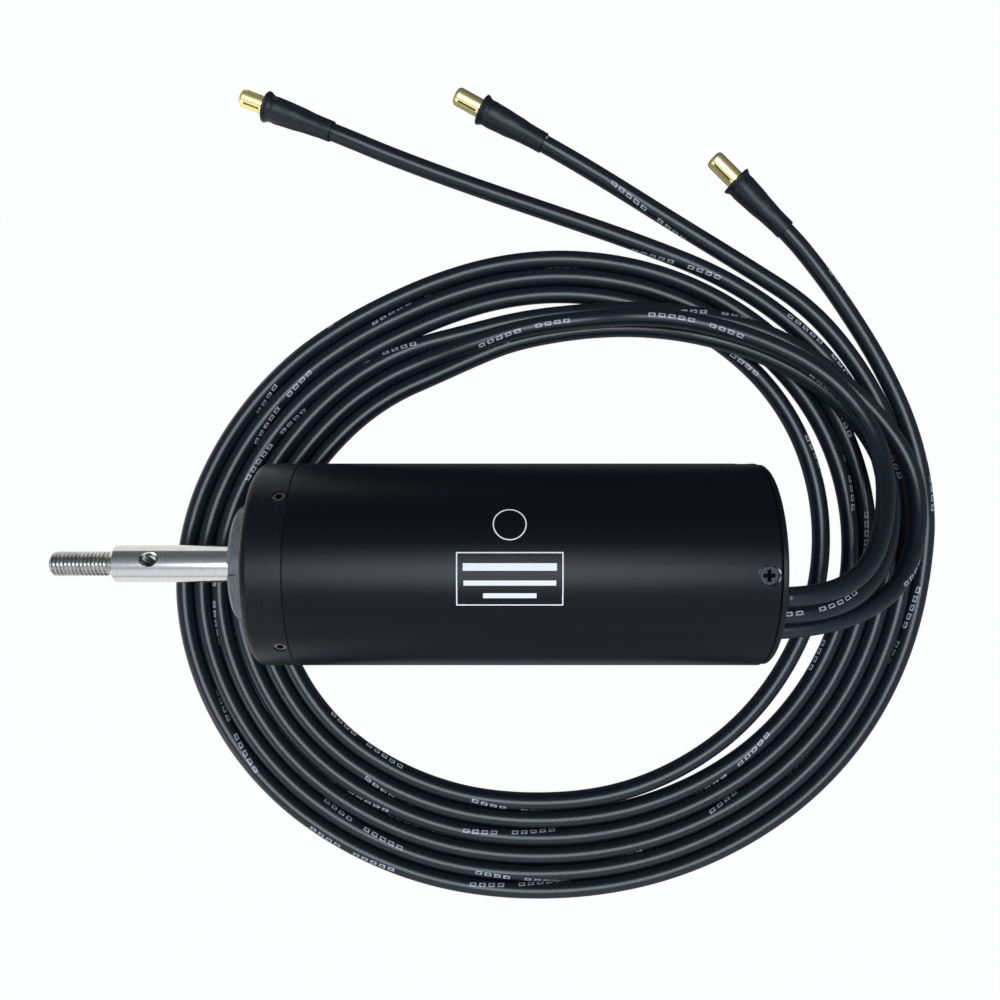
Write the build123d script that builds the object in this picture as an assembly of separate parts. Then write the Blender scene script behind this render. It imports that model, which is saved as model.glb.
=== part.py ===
"""Sealed in-water drive motor for a hydrofoil board, with three coiled phase cables.

Millimetres, +Z up. The motor lies on its side on the ground at z = 0, with its shaft along -X. Its pieces
are drawn on the shaft line, by station: the distance behind the front cap's face. seated() then lays each
one on the ground, with the middle of the motor's own length at x = 0. Roll angles are from +Z towards +Y.
"""

from build123d import *
import math
import os

# Along the shaft, the frame starts this far behind the casing's front face
MIDDLE = 46.25

# Casing: a drawn tube between two turned caps
CASING_DIA = 65.0
CASING_LENGTH = 161.0
TUBE_WALL = 4.0
TUBE_EDGE = 0.8
SEAM_EDGE = 0.2
FRONT_BAND = 12.9
FRONT_EDGE_ROUND = 2.4
SPIGOT_LENGTH = 8.0
SPIGOT_WALL = 2.0
FRONT_PLUG_REACH = 6.1
REAR_FLANGE = 1.7
REAR_FLANGE_STEP = 0.4
REAR_FLANGE_EDGE = 0.5
REAR_PLUG_LENGTH = 12.3
SLIP = 0.05
ROLL = -2.5

# Screws that hold the caps
SCREWS_PER_CAP = 4
GRUB_THREAD = 4.0
GRUB_LENGTH = 4.8
GRUB_SINK = 0.4
GRUB_HEX = 2.0
GRUB_HEX_DEPTH = 2.0
GRUB_BEFORE_SEAM = 2.65
GRUB_TURN = 45.0
REAR_SCREW_THREAD = 3.0
REAR_SCREW_HEAD = 5.5
REAR_SCREW_LENGTH = 6.0
REAR_SCREW_FROM_END = 4.2
COUNTERSINK_DIA = 7.0
CROSS_RECESS_WIDTH = 1.2
CROSS_RECESS_SPAN = 3.6
CROSS_RECESS_DEPTH = 1.3

# Front face: seal carrier and mounting holes
CARRIER_DIA = 38.0
CARRIER_HEIGHT = 7.0
CARRIER_EDGE = 1.0
CARRIER_LIP = 1.5
CARRIER_THREAD = 30.0
CARRIER_SPIGOT = 7.5
CARRIER_RECESS = 8.0
NOTCHES = 4
NOTCH_WIDTH = 3.5
NOTCH_LENGTH = 2.7
NOTCH_DEPTH = 2.2
MOUNT_HOLES = 4
MOUNT_CIRCLE = 50.0
MOUNT_THREAD = 4.0
MOUNT_DEPTH = 9.0
MOUNT_TURN = 45.0

# Shaft
SHAFT_DIA = 12.0
SHAFT_REACH = 68.4
SHAFT_GAP = 0.6
SHAFT_SHOULDER = 1.0
RELIEF_WIDTH = 1.5
RELIEF_DEPTH = 0.4
RELIEF_SHOWS = 0.5
THREAD_DIA = 8.0
THREAD_LENGTH = 19.0
THREAD_EDGE = 0.8
NECK_DIA = 6.4
NECK_LENGTH = 1.0
PIN_HOLE_DIA = 4.2
PIN_HOLE_MOUTH = 6.0
PIN_HOLE_FROM_SHOULDER = 12.8
PIN_HOLE_TURN = 18.0
REAR_JOURNAL_DIA = 10.0
REAR_JOURNAL_LENGTH = 9.5
SHAFT_END_EDGE = 0.6

# Bearings: bore, outside diameter, width, ball diameter, pitch diameter, number of balls
FRONT_BEARING_OUTSIDE = 28.0
FRONT_BALL_CIRCLE = 20.5
FRONT_BALLS = 8
REAR_BEARING_OUTSIDE = 26.0
REAR_BALL_CIRCLE = 18.0
REAR_BALLS = 7
BEARING_WIDTH = 8.0
BALL_DIA = 4.76
FRONT_BEARING = (SHAFT_DIA, FRONT_BEARING_OUTSIDE, BEARING_WIDTH, BALL_DIA, FRONT_BALL_CIRCLE, FRONT_BALLS)
REAR_BEARING = (REAR_JOURNAL_DIA, REAR_BEARING_OUTSIDE, BEARING_WIDTH, BALL_DIA, REAR_BALL_CIRCLE, REAR_BALLS)
RACE_LAND = 1.2
BALL_GAP = 0.1
POCKET_GAP = 0.1
CAGE_HALF_HEIGHT = 1.0
CAGE_WIDTH = 5.6
BEARING_SHOULDER = 2.5
SHOULDER_WALL = 2.5
SPRING_HEIGHT = 1.0
SPRING_WIDTH = 2.5
END_RELIEF_DIA = 16.0
END_RELIEF_DEPTH = 1.5

# Seals and rings
SEAL_DIA = 24.0
SEAL_WIDTH = 6.5
SEAL_CASE = 1.4
SEAL_WEB = 1.6
SEAL_LIP_GAP = 0.03
SEAL_LIP = 0.8
O_RING_HEIGHT = 1.4
O_RING_WIDTH = 2.0
O_RING_GROOVE = 2.2
O_RING_SQUEEZE_GAP = 0.05
CAP_GROOVE_INSET = 2.0
CARRIER_GROOVE_INSET = 1.6
CARRIER_O_RING_HEIGHT = 1.0
CIRCLIP_WIDTH = 1.0
CIRCLIP_GROOVE_DEPTH = 0.5
CIRCLIP_HEIGHT = 2.6
CIRCLIP_GAP = 3.4

# Electrical parts. The rotor is built up from the shaft, and the stator fills what is left of the casing.
STATOR_TO_FRONT_CAP = 12.0
STATOR_SLOTS = 12
TOOTH_WIDTH = 4.2
TOOTH_TIP = 1.4
SLOT_OPENING = 2.2
BACK_IRON = 3.2
INSULATOR = 0.8
COIL_STEP = 3.3
COIL_SPACE = 0.3
COIL_END = 3.0
COIL_CORNER = 1.5
COIL_GAP = 0.3
COIL_BACK_GAP = 0.9
AIR_GAP = 0.6
SLEEVE_THICK = 0.6
MAGNETS = 8
MAGNET_THICK = 4.0
MAGNET_SPACE = 1.0
CORE_WALL = 5.0
CORE_OVERHANG = 1.0
SPACER_WALL = 1.6
TERMINAL_RING_WIDTH = 14.4
TERMINAL_RING_THICK = 2.0
TERMINAL_RING_GAP = 1.5
TERMINAL_DIA = 8.0
TERMINAL_LENGTH = 7.5
TERMINAL_FLOOR = 2.5
TERMINALS_TO_REAR_CAP = 1.2

# Cables, their grommets and their end connectors
CABLE_DIA = 6.2
CABLE_PITCH = 11.2
CABLE_ROW_INSET = 10.1
CABLE_ROW_TURN = -55.5
CABLE_BORE_GAP = 0.2
GROMMET_DIA = 9.4
GROMMET_DEPTH = 4.5
GROMMET_LIP = 1.5
GROMMET_LIP_EXTRA = 0.5
HEAT_SHRINK_LENGTH = 25.0
HEAT_SHRINK_END_DIA = 7.3
HEAT_SHRINK_CUP_DIA = 8.9
HEAT_SHRINK_NECK_DIA = 9.4
HEAT_SHRINK_LIP_DIA = 11.0
HEAT_SHRINK_LIP_LENGTH = 2.0
HEAT_SHRINK_GAP = 0.05
PLUG_DIA = 6.5
PLUG_TIP_ROUND = 1.4
PLUG_CUP_DIA = 7.4
PLUG_CUP_LENGTH = 11.5
PLUG_COLLAR_DIA = 8.4
PLUG_COLLAR_LENGTH = 1.5
PLUG_SLOTS = 2
PLUG_SLOT_WIDTH = 0.7
PLUG_SLOT_START = 1.2
PLUG_SLOT_TO_TIP = 2.1
CASING_TO_COIL = 0.3

# Coil on the ground: a ribbon of the three cables side by side, 1.67 turns, growing outwards.
# RIBBON_RADII are its middle cable's distances from the coil's centre, one for each step of azimuth.
COIL_CENTRE = (47.0, -5.0)
COIL_START = 120.0
COIL_STEP_ANGLE = 30.0
COIL_LAY_PITCH = 6.25
RIBBON_RADII = (
    86.6, 95.3, 104.2, 101.0, 92.2, 87.0, 89.8, 98.8, 107.5, 111.0, 108.3,
    105.2, 104.8, 114.1, 122.9, 120.0, 112.6, 107.8, 111.2, 119.0, 127.8,
)
# Where the innermost cable strays from its neighbour on the first turn: azimuth, half spread and gap
LOOSE_AT = 352.0
LOOSE_SPREAD = 75.0
LOOSE_GAP = 4.8

# Each cable from its grommet, through the air and over the coil, to where it joins the ribbon.
# side is its place in the ribbon: 1 outermost, 0 in the middle, -1 innermost.
LEADS = {
    "upper": {
        "row": 1,
        "side": 0,
        "points": (
            (130.0, -8.6, 51.6), (146.0, -1.5, 43.5), (157.0, 14.5, 29.5), (160.0, 34.0, 20.8),
            (154.0, 51.0, 16.6), (140.0, 65.5, 15.4), (119.5, 75.8, 15.2), (96.0, 82.3, 15.2),
            (78.0, 84.0, 14.2), (60.0, 83.6, 9.0), (40.0, 81.3, 8.6), (20.6, 75.6, 6.3),
        ),
    },
    "middle": {
        "row": 0,
        "side": -1,
        "points": (
            (130.0, -15.1, 42.5), (148.0, -9.5, 34.5), (161.0, 3.5, 21.5), (166.0, 22.0, 13.0),
            (161.5, 40.0, 9.9), (147.0, 57.5, 9.4), (126.0, 70.0, 9.6), (103.0, 77.7, 9.6),
            (80.7, 81.7, 4.8), (58.3, 81.1, 3.1), (35.7, 77.0, 3.1), (21.1, 71.1, 3.1),
        ),
    },
    "lower": {
        "row": -1,
        "side": 1,
        "points": (
            (131.0, -20.9, 33.6), (150.0, -16.5, 29.0), (166.0, -7.5, 21.0), (175.0, 10.0, 13.0),
            (175.0, 30.0, 9.9), (165.0, 47.5, 9.4), (147.0, 65.0, 9.4), (126.0, 78.5, 9.4),
            (103.0, 84.8, 9.6), (80.0, 87.1, 8.8), (60.0, 87.3, 3.6), (38.0, 84.9, 3.1),
            (16.5, 79.4, 3.1),
        ),
    },
}

# Each cable from the ribbon's end to its connector: bends, then where the heat-shrink sleeve starts, the
# plan direction in which the connector points, in degrees from +X, and how far its plug stands out.
TAILS = {
    "upper": {
        "points": (
            (175.6, 19.8, 3.1), (170.2, 44.2, 3.1), (158.7, 67.2, 3.1), (141.0, 88.8, 3.1),
            (118.0, 103.5, 3.1), (91.0, 120.0, 3.1), (66.0, 135.4, 3.9),
        ),
        "sleeve": (45.8, 146.5),
        "heading": 151.2,
        "reach": 10.4,
    },
    "middle": {
        "points": (
            (168.9, 21.4, 3.1), (163.2, 44.4, 3.1), (150.9, 66.6, 3.1), (132.7, 85.0, 3.1),
            (109.0, 100.4, 3.1), (80.0, 111.9, 3.1), (52.0, 121.5, 3.1), (20.0, 132.3, 3.1),
            (-8.0, 142.3, 4.1),
        ),
        "sleeve": (-28.9, 150.6),
        "heading": 159.1,
        "reach": 9.3,
    },
    "lower": {
        "points": (
            (182.2, 18.2, 3.1), (176.9, 44.4, 3.1), (165.7, 69.2, 3.1), (151.5, 91.5, 3.3),
            (141.0, 105.0, 4.3),
        ),
        "sleeve": (131.1, 115.8),
        "heading": 135.0,
        "reach": 11.2,
    },
}

# Places that follow from the sizes above
CASING_R = CASING_DIA / 2
BORE_R = CASING_R - TUBE_WALL
SHAFT_R = SHAFT_DIA / 2
CABLE_R = CABLE_DIA / 2
PLUG_R = BORE_R - SLIP
TUBE_FRONT = FRONT_BAND - SPIGOT_LENGTH
TUBE_END = CASING_LENGTH - REAR_FLANGE
FRONT_PLUG_END = FRONT_BAND + FRONT_PLUG_REACH
REAR_PLUG_START = TUBE_END - REAR_PLUG_LENGTH
LIP_FACE = CASING_LENGTH + GROMMET_LIP
FRONT_BEARING_AT = CARRIER_RECESS + BEARING_SHOULDER
REAR_BEARING_AT = REAR_PLUG_START
STATOR_START = FRONT_PLUG_END + STATOR_TO_FRONT_CAP
TERMINAL_AT = REAR_PLUG_START - TERMINALS_TO_REAR_CAP - TERMINAL_LENGTH
TERMINAL_RING_AT = TERMINAL_AT - TERMINAL_RING_THICK
STATOR_END = TERMINAL_RING_AT - TERMINAL_RING_GAP - COIL_END - INSULATOR
STATOR_LENGTH = STATOR_END - STATOR_START
CABLE_ROW_RADIUS = BORE_R - CABLE_ROW_INSET
CORE_START = STATOR_START - CORE_OVERHANG
CORE_END = STATOR_END + CORE_OVERHANG
CORE_R = SHAFT_R + CORE_WALL
MAGNET_R = CORE_R + MAGNET_THICK
SLEEVE_R = MAGNET_R + SLEEVE_THICK
STATOR_BORE = 2 * (SLEEVE_R + AIR_GAP)
COLLAR_AT = HEAT_SHRINK_LENGTH - PLUG_COLLAR_LENGTH
CUP_AT = COLLAR_AT - PLUG_CUP_LENGTH


def seated(shape):
    """Lay a piece drawn on the shaft line down on the ground."""
    return Pos(-MIDDLE, 0, CASING_R) * shape


def turned(*profile):
    """A solid turned about the shaft line from (station, radius) points."""
    return revolve(make_face(Polyline(*profile, close=True)), Axis.X, 360)


def ring(start, end, inner, outer):
    """A plain ring between two stations."""
    return turned((start, inner), (start, outer), (end, outer), (end, inner))


def rod(start, end, radius, across=0.0, up=0.0):
    """A cylinder along the shaft line, at a place beside it."""
    return Pos((start + end) / 2, across, up) * (Rot(0, 90, 0) * Cylinder(radius, end - start))


def rolled(shape, angle):
    """Turn a piece that points up about the shaft line, towards +Y."""
    return Rot(-angle, 0, 0) * shape


def around(shape, count, first=0.0):
    """Copies of a piece, evenly spaced about the shaft line."""
    return [rolled(shape, first + 360 * k / count) for k in range(count)]


def upright(station, low, high, radius, top_radius=None):
    """A radial pin, drawn upwards at a station, between two distances from the shaft line."""
    place = Pos(station, 0, (low + high) / 2)
    if top_radius is None:
        return place * Cylinder(radius, high - low)
    return place * Cone(radius, top_radius, high - low)


def o_ring(middle, inner, height):
    """A seal ring pressed to a rounded oblong section."""
    section = Pos(middle, inner + height / 2) * RectangleRounded(O_RING_WIDTH, height, 0.45 * height)
    return revolve(section, Axis.X, 360)


def front_grub_angles():
    return ROLL + GRUB_TURN


def casing_tube():
    spigot_r = BORE_R + SPIGOT_WALL
    body = turned(
        (TUBE_FRONT, BORE_R),
        (TUBE_FRONT, spigot_r),
        (FRONT_BAND, spigot_r),
        (FRONT_BAND, CASING_R - SEAM_EDGE),
        (FRONT_BAND + SEAM_EDGE, CASING_R),
        (TUBE_END - TUBE_EDGE, CASING_R),
        (TUBE_END, CASING_R - TUBE_EDGE),
        (TUBE_END, BORE_R),
    )
    grub_hole = upright(FRONT_BAND - GRUB_BEFORE_SEAM, BORE_R - 1, spigot_r + 1, GRUB_THREAD / 2 + 2 * SLIP)
    body -= around(grub_hole, SCREWS_PER_CAP, front_grub_angles())
    return body - around(rear_screw_hole(), SCREWS_PER_CAP, ROLL)


def rear_screw_hole():
    """The clearance hole and countersink for one rear screw, drawn upwards."""
    station = TUBE_END - REAR_SCREW_FROM_END
    depth = (COUNTERSINK_DIA - REAR_SCREW_THREAD) / 2
    hole = upright(station, BORE_R - 1, CASING_R + 1, REAR_SCREW_THREAD / 2 + 2 * SLIP)
    sink = upright(station, CASING_R - depth, CASING_R + 1, REAR_SCREW_THREAD / 2, COUNTERSINK_DIA / 2 + 1)
    return hole + sink


def front_cap():
    recess_r = CARRIER_THREAD / 2
    slot_r = BORE_R + SPIGOT_WALL + SLIP
    groove = FRONT_BAND + CAP_GROOVE_INSET
    body = turned(
        (0, recess_r),
        (0, CASING_R),
        (FRONT_BAND - SEAM_EDGE, CASING_R),
        (FRONT_BAND, CASING_R - SEAM_EDGE),
        (FRONT_BAND, slot_r),
        (TUBE_FRONT - SLIP, slot_r),
        (TUBE_FRONT - SLIP, PLUG_R),
        (groove, PLUG_R),
        (groove, BORE_R - O_RING_HEIGHT - O_RING_SQUEEZE_GAP),
        (groove + O_RING_GROOVE, BORE_R - O_RING_HEIGHT - O_RING_SQUEEZE_GAP),
        (groove + O_RING_GROOVE, PLUG_R),
        (FRONT_PLUG_END, PLUG_R),
        (FRONT_PLUG_END, FRONT_BEARING[1] / 2),
        (FRONT_BEARING_AT, FRONT_BEARING[1] / 2),
        (FRONT_BEARING_AT, FRONT_BEARING[1] / 2 - SHOULDER_WALL),
        (CARRIER_RECESS, FRONT_BEARING[1] / 2 - SHOULDER_WALL),
        (CARRIER_RECESS, recess_r),
    )
    rim = body.edges().filter_by(GeomType.CIRCLE).group_by(Axis.X)[0].sort_by(SortBy.RADIUS)[-1]
    body = fillet(rim, FRONT_EDGE_ROUND)
    body -= around(grub_seat(), SCREWS_PER_CAP, front_grub_angles())
    hole = rod(-1, MOUNT_DEPTH, MOUNT_THREAD / 2, 0, MOUNT_CIRCLE / 2)
    return body - around(hole, MOUNT_HOLES, ROLL + MOUNT_TURN)


def grub_seat():
    """The threaded hole for one grub screw, down into the cap's plug, drawn upwards."""
    low = CASING_R - GRUB_SINK - GRUB_LENGTH
    return upright(FRONT_BAND - GRUB_BEFORE_SEAM, low, CASING_R + 1, GRUB_THREAD / 2)


def grub_screws():
    """Socket set screws, sunk a little below the cap's band."""
    station = FRONT_BAND - GRUB_BEFORE_SEAM
    top = CASING_R - GRUB_SINK
    screw = upright(station, top - GRUB_LENGTH, top, GRUB_THREAD / 2)
    socket = extrude(Plane.XY * RegularPolygon(GRUB_HEX / 2, 6, major_radius=False), GRUB_HEX_DEPTH)
    screw -= Pos(station, 0, top - GRUB_HEX_DEPTH) * socket
    return around(screw, SCREWS_PER_CAP, front_grub_angles())


def seal_carrier():
    """The screwed ring on the front face that holds the shaft seals, with its spanner notches."""
    rim_r = CARRIER_DIA / 2
    spigot_r = CARRIER_THREAD / 2 - SLIP
    groove = CARRIER_GROOVE_INSET
    body = turned(
        (-CARRIER_HEIGHT, SHAFT_R + SHAFT_GAP),
        (-CARRIER_HEIGHT, rim_r - CARRIER_EDGE),
        (CARRIER_EDGE - CARRIER_HEIGHT, rim_r),
        (0, rim_r),
        (0, spigot_r),
        (groove, spigot_r),
        (groove, spigot_r - CARRIER_O_RING_HEIGHT),
        (groove + O_RING_GROOVE, spigot_r - CARRIER_O_RING_HEIGHT),
        (groove + O_RING_GROOVE, spigot_r),
        (CARRIER_SPIGOT, spigot_r),
        (CARRIER_SPIGOT, SEAL_DIA / 2),
        (CARRIER_LIP - CARRIER_HEIGHT, SEAL_DIA / 2),
        (CARRIER_LIP - CARRIER_HEIGHT, SHAFT_R + SHAFT_GAP),
    )
    notch = Pos(NOTCH_LENGTH / 2 - CARRIER_HEIGHT - 0.5, 0, rim_r - NOTCH_DEPTH / 2 + 0.5) * Box(
        NOTCH_LENGTH + 1, NOTCH_WIDTH, NOTCH_DEPTH + 1
    )
    return body - around(notch, NOTCHES, ROLL)


def shaft_seal(start):
    """A lip seal: a ring case with a web and a lip that runs on the shaft."""
    lip_r = SHAFT_R + SEAL_LIP_GAP
    outer = SEAL_DIA / 2
    return turned(
        (start, outer),
        (start, lip_r + SEAL_CASE),
        (start + SEAL_WEB + SEAL_LIP, lip_r),
        (start + SEAL_WEB + 2 * SEAL_LIP, lip_r),
        (start + SEAL_WEB, lip_r + SEAL_CASE + SEAL_LIP / 2),
        (start + SEAL_WEB, outer - SEAL_CASE),
        (start + SEAL_WIDTH, outer - SEAL_CASE),
        (start + SEAL_WIDTH, outer),
    )


def rear_cap():
    groove = REAR_PLUG_START + CAP_GROOVE_INSET
    rim_r = CASING_R - REAR_FLANGE_STEP
    pocket_r = REAR_BEARING[1] / 2
    pocket_end = REAR_BEARING_AT + REAR_BEARING[2] + SPRING_HEIGHT
    body = turned(
        (REAR_PLUG_START, pocket_r),
        (REAR_PLUG_START, PLUG_R),
        (groove, PLUG_R),
        (groove, BORE_R - O_RING_HEIGHT - O_RING_SQUEEZE_GAP),
        (groove + O_RING_GROOVE, BORE_R - O_RING_HEIGHT - O_RING_SQUEEZE_GAP),
        (groove + O_RING_GROOVE, PLUG_R),
        (TUBE_END, PLUG_R),
        (TUBE_END, rim_r),
        (CASING_LENGTH - REAR_FLANGE_EDGE, rim_r),
        (CASING_LENGTH, rim_r - REAR_FLANGE_EDGE),
        (CASING_LENGTH, 0),
        (pocket_end + END_RELIEF_DEPTH, 0),
        (pocket_end + END_RELIEF_DEPTH, END_RELIEF_DIA / 2),
        (pocket_end, END_RELIEF_DIA / 2),
        (pocket_end, pocket_r),
    )
    seat = upright(
        TUBE_END - REAR_SCREW_FROM_END, CASING_R - REAR_SCREW_LENGTH, CASING_R + 1, REAR_SCREW_THREAD / 2
    )
    body -= around(seat, SCREWS_PER_CAP, ROLL)
    for across, up in cable_row():
        body -= rod(REAR_PLUG_START - 1, CASING_LENGTH, CABLE_R + CABLE_BORE_GAP, across, up)
        body -= rod(CASING_LENGTH - GROMMET_DEPTH, CASING_LENGTH + 1, GROMMET_DIA / 2, across, up)
    return body


def rear_screws():
    """Countersunk cross-recess screws through the tube into the rear cap's plug."""
    station = TUBE_END - REAR_SCREW_FROM_END
    top = CASING_R - (COUNTERSINK_DIA - REAR_SCREW_HEAD) / 2
    cone = (REAR_SCREW_HEAD - REAR_SCREW_THREAD) / 2
    screw = upright(station, CASING_R - REAR_SCREW_LENGTH, top - cone, REAR_SCREW_THREAD / 2)
    screw += upright(station, top - cone, top, REAR_SCREW_THREAD / 2, REAR_SCREW_HEAD / 2)
    for turn in (0, 90):
        blade = Rot(0, 0, turn) * Box(CROSS_RECESS_SPAN, CROSS_RECESS_WIDTH, 2 * CROSS_RECESS_DEPTH)
        screw -= Pos(station, 0, top) * blade
    return around(screw, SCREWS_PER_CAP, ROLL)


def cable_row():
    """Where the three cables leave the rear cap: (across, up) from the shaft line, upper one first."""
    turn = math.radians(CABLE_ROW_TURN)
    foot = (CABLE_ROW_RADIUS * math.sin(turn), CABLE_ROW_RADIUS * math.cos(turn))
    along = (math.cos(turn), -math.sin(turn))
    return [(foot[0] + k * CABLE_PITCH * along[0], foot[1] + k * CABLE_PITCH * along[1]) for k in (1, 0, -1)]


def grommets():
    """Rubber grommets round the cables, each with a domed lip outside."""
    start = CASING_LENGTH - GROMMET_DEPTH
    lip_r = GROMMET_DIA / 2 + GROMMET_LIP_EXTRA
    body = turned(
        (start, CABLE_R),
        (start, GROMMET_DIA / 2),
        (CASING_LENGTH, GROMMET_DIA / 2),
        (CASING_LENGTH, lip_r),
        (CASING_LENGTH + 0.4 * GROMMET_LIP, lip_r),
        (LIP_FACE, lip_r - 0.6 * GROMMET_LIP),
        (LIP_FACE, CABLE_R),
    )
    return [Pos(0, across, up) * body for across, up in cable_row()]


def phase_leads():
    """The cables' inner ends, from the terminals to the grommets' outer faces."""
    start = TERMINAL_AT + TERMINAL_FLOOR
    return [rod(start, LIP_FACE, CABLE_R, across, up) for across, up in cable_row()]


def phase_terminals():
    """Crimped terminal barrels on the terminal ring."""
    end = TERMINAL_AT + TERMINAL_LENGTH
    barrel = rod(TERMINAL_AT, end, TERMINAL_DIA / 2) - rod(TERMINAL_AT + TERMINAL_FLOOR, end + 1, CABLE_R)
    return [Pos(0, across, up) * barrel for across, up in cable_row()]


def terminal_ring():
    return ring(TERMINAL_RING_AT, TERMINAL_AT, BORE_R - TERMINAL_RING_WIDTH, BORE_R)


def shaft():
    tip = -SHAFT_REACH
    thread_end = tip + THREAD_LENGTH
    shoulder = thread_end + NECK_LENGTH
    journal = REAR_PLUG_START
    end = journal + REAR_JOURNAL_LENGTH
    clip = FRONT_BEARING_AT - CIRCLIP_WIDTH
    relief = -CARRIER_HEIGHT - RELIEF_SHOWS
    body = turned(
        (tip, 0),
        (tip, THREAD_DIA / 2 - THREAD_EDGE),
        (tip + THREAD_EDGE, THREAD_DIA / 2),
        (thread_end, THREAD_DIA / 2),
        (thread_end, NECK_DIA / 2),
        (shoulder, NECK_DIA / 2),
        (shoulder, SHAFT_R - SHAFT_SHOULDER),
        (shoulder + SHAFT_SHOULDER, SHAFT_R),
        (relief, SHAFT_R),
        (relief, SHAFT_R - RELIEF_DEPTH),
        (relief + RELIEF_WIDTH, SHAFT_R - RELIEF_DEPTH),
        (relief + RELIEF_WIDTH, SHAFT_R),
        (clip, SHAFT_R),
        (clip, SHAFT_R - CIRCLIP_GROOVE_DEPTH),
        (FRONT_BEARING_AT, SHAFT_R - CIRCLIP_GROOVE_DEPTH),
        (FRONT_BEARING_AT, SHAFT_R),
        (journal, SHAFT_R),
        (journal, REAR_JOURNAL_DIA / 2),
        (end - SHAFT_END_EDGE, REAR_JOURNAL_DIA / 2),
        (end, REAR_JOURNAL_DIA / 2 - SHAFT_END_EDGE),
        (end, 0),
    )
    station = shoulder + PIN_HOLE_FROM_SHOULDER
    hole = upright(station, -SHAFT_DIA, SHAFT_DIA, PIN_HOLE_DIA / 2)
    depth = (PIN_HOLE_MOUTH - PIN_HOLE_DIA) / 2
    for side in (0, 180):
        hole += Rot(side, 0, 0) * upright(
            station, SHAFT_R - depth, SHAFT_R + depth, PIN_HOLE_DIA / 2, PIN_HOLE_MOUTH / 2 + depth
        )
    return body - rolled(hole, PIN_HOLE_TURN)


def shaft_circlip():
    """An open ring in the shaft's groove, in front of the front bearing."""
    inner = SHAFT_R - CIRCLIP_GROOVE_DEPTH
    clip = ring(FRONT_BEARING_AT - CIRCLIP_WIDTH, FRONT_BEARING_AT, inner, inner + CIRCLIP_HEIGHT)
    gap = Pos(FRONT_BEARING_AT, 0, inner + CIRCLIP_HEIGHT / 2)
    return clip - gap * Box(4 * CIRCLIP_WIDTH, CIRCLIP_GAP, 2 * CIRCLIP_HEIGHT)


def race_groove(start, bearing):
    """The round groove that the balls run in, as a solid to cut away."""
    _, _, width, ball, pitch, _ = bearing
    return revolve(Pos(start + width / 2, pitch / 2) * Circle(ball / 2 + BALL_GAP), Axis.X, 360)


def outer_race(start, bearing):
    _, outside, width, _, pitch, _ = bearing
    return ring(start, start + width, pitch / 2 + RACE_LAND, outside / 2) - race_groove(start, bearing)


def inner_race(start, bearing):
    bore, _, width, _, pitch, _ = bearing
    return ring(start, start + width, bore / 2, pitch / 2 - RACE_LAND) - race_groove(start, bearing)


def ball_set(start, bearing):
    _, _, width, ball, pitch, count = bearing
    return around(Pos(start + width / 2, 0, pitch / 2) * Sphere(ball / 2), count)


def ball_cage(start, bearing):
    """A ring between the races, with a pocket round each ball."""
    _, _, width, ball, pitch, count = bearing
    middle = start + width / 2
    cage = ring(
        middle - CAGE_WIDTH / 2, middle + CAGE_WIDTH / 2, pitch / 2 - CAGE_HALF_HEIGHT, pitch / 2 + CAGE_HALF_HEIGHT
    )
    return cage - around(Pos(middle, 0, pitch / 2) * Sphere(ball / 2 + POCKET_GAP), count)


def preload_spring():
    """The ring spring that presses on the rear bearing's outer race."""
    start = REAR_BEARING_AT + REAR_BEARING[2]
    outer = REAR_BEARING[1] / 2 - 2 * SLIP
    return ring(start, start + SPRING_HEIGHT, outer - SPRING_WIDTH, outer)


def lamination():
    """The stator's section, drawn flat: a back ring with teeth whose tips narrow the slots."""
    outer = BORE_R
    inner = STATOR_BORE / 2
    slot_low = inner + TOOTH_TIP
    slot_high = outer - BACK_IRON
    half_angle = math.pi / STATOR_SLOTS
    low_half = slot_low * math.tan(half_angle) - TOOTH_WIDTH / 2
    high_half = slot_high * math.tan(half_angle) - TOOTH_WIDTH / 2
    slot = make_face(
        Polyline(
            (slot_low, -low_half), (slot_high, -high_half), (slot_high, high_half), (slot_low, low_half), close=True
        )
    )
    slot += Pos(slot_low, 0) * Rectangle(2 * TOOTH_TIP + 1, SLOT_OPENING)
    section = Circle(outer) - Circle(inner)
    for k in range(STATOR_SLOTS):
        section -= Rot(0, 0, 360 * (k + 0.5) / STATOR_SLOTS) * slot
    return section


def stacked(section, start, thickness):
    """A flat section made a plate square to the shaft line, with its +X side turned up."""
    return Pos(start, 0, 0) * (Rot(0, 90, 0) * (Rot(0, 0, 180) * extrude(section, thickness)))


def stator_core():
    return stacked(lamination(), STATOR_START, STATOR_LENGTH)


def end_insulators():
    section = lamination()
    return [stacked(section, STATOR_START - INSULATOR, INSULATOR), stacked(section, STATOR_END, INSULATOR)]


def winding_layer(low, high):
    """One layer of a tooth's coil, a racetrack ring drawn upwards round the tooth.

    It is as thick as its half of the slot is at the layer's foot, less a gap at the tooth and one at the middle.
    """
    thick = low * math.tan(math.pi / STATOR_SLOTS) - TOOTH_WIDTH / 2 - COIL_GAP - COIL_SPACE
    inside = STATOR_LENGTH + 2 * INSULATOR
    width = TOOTH_WIDTH + 2 * COIL_GAP
    outside = inside + 2 * COIL_END
    ring_face = RectangleRounded(outside, width + 2 * thick, COIL_CORNER) - Rectangle(inside, width)
    return Pos(STATOR_START + STATOR_LENGTH / 2, 0, low) * extrude(ring_face, high - low)


def windings():
    """Twelve tooth coils, each wider towards the back of its slots."""
    low = STATOR_BORE / 2 + TOOTH_TIP + COIL_GAP
    high = BORE_R - BACK_IRON - COIL_BACK_GAP
    step = low + COIL_STEP
    tooth_coil = winding_layer(low, step) + winding_layer(step, high)
    return around(tooth_coil, STATOR_SLOTS)


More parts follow.
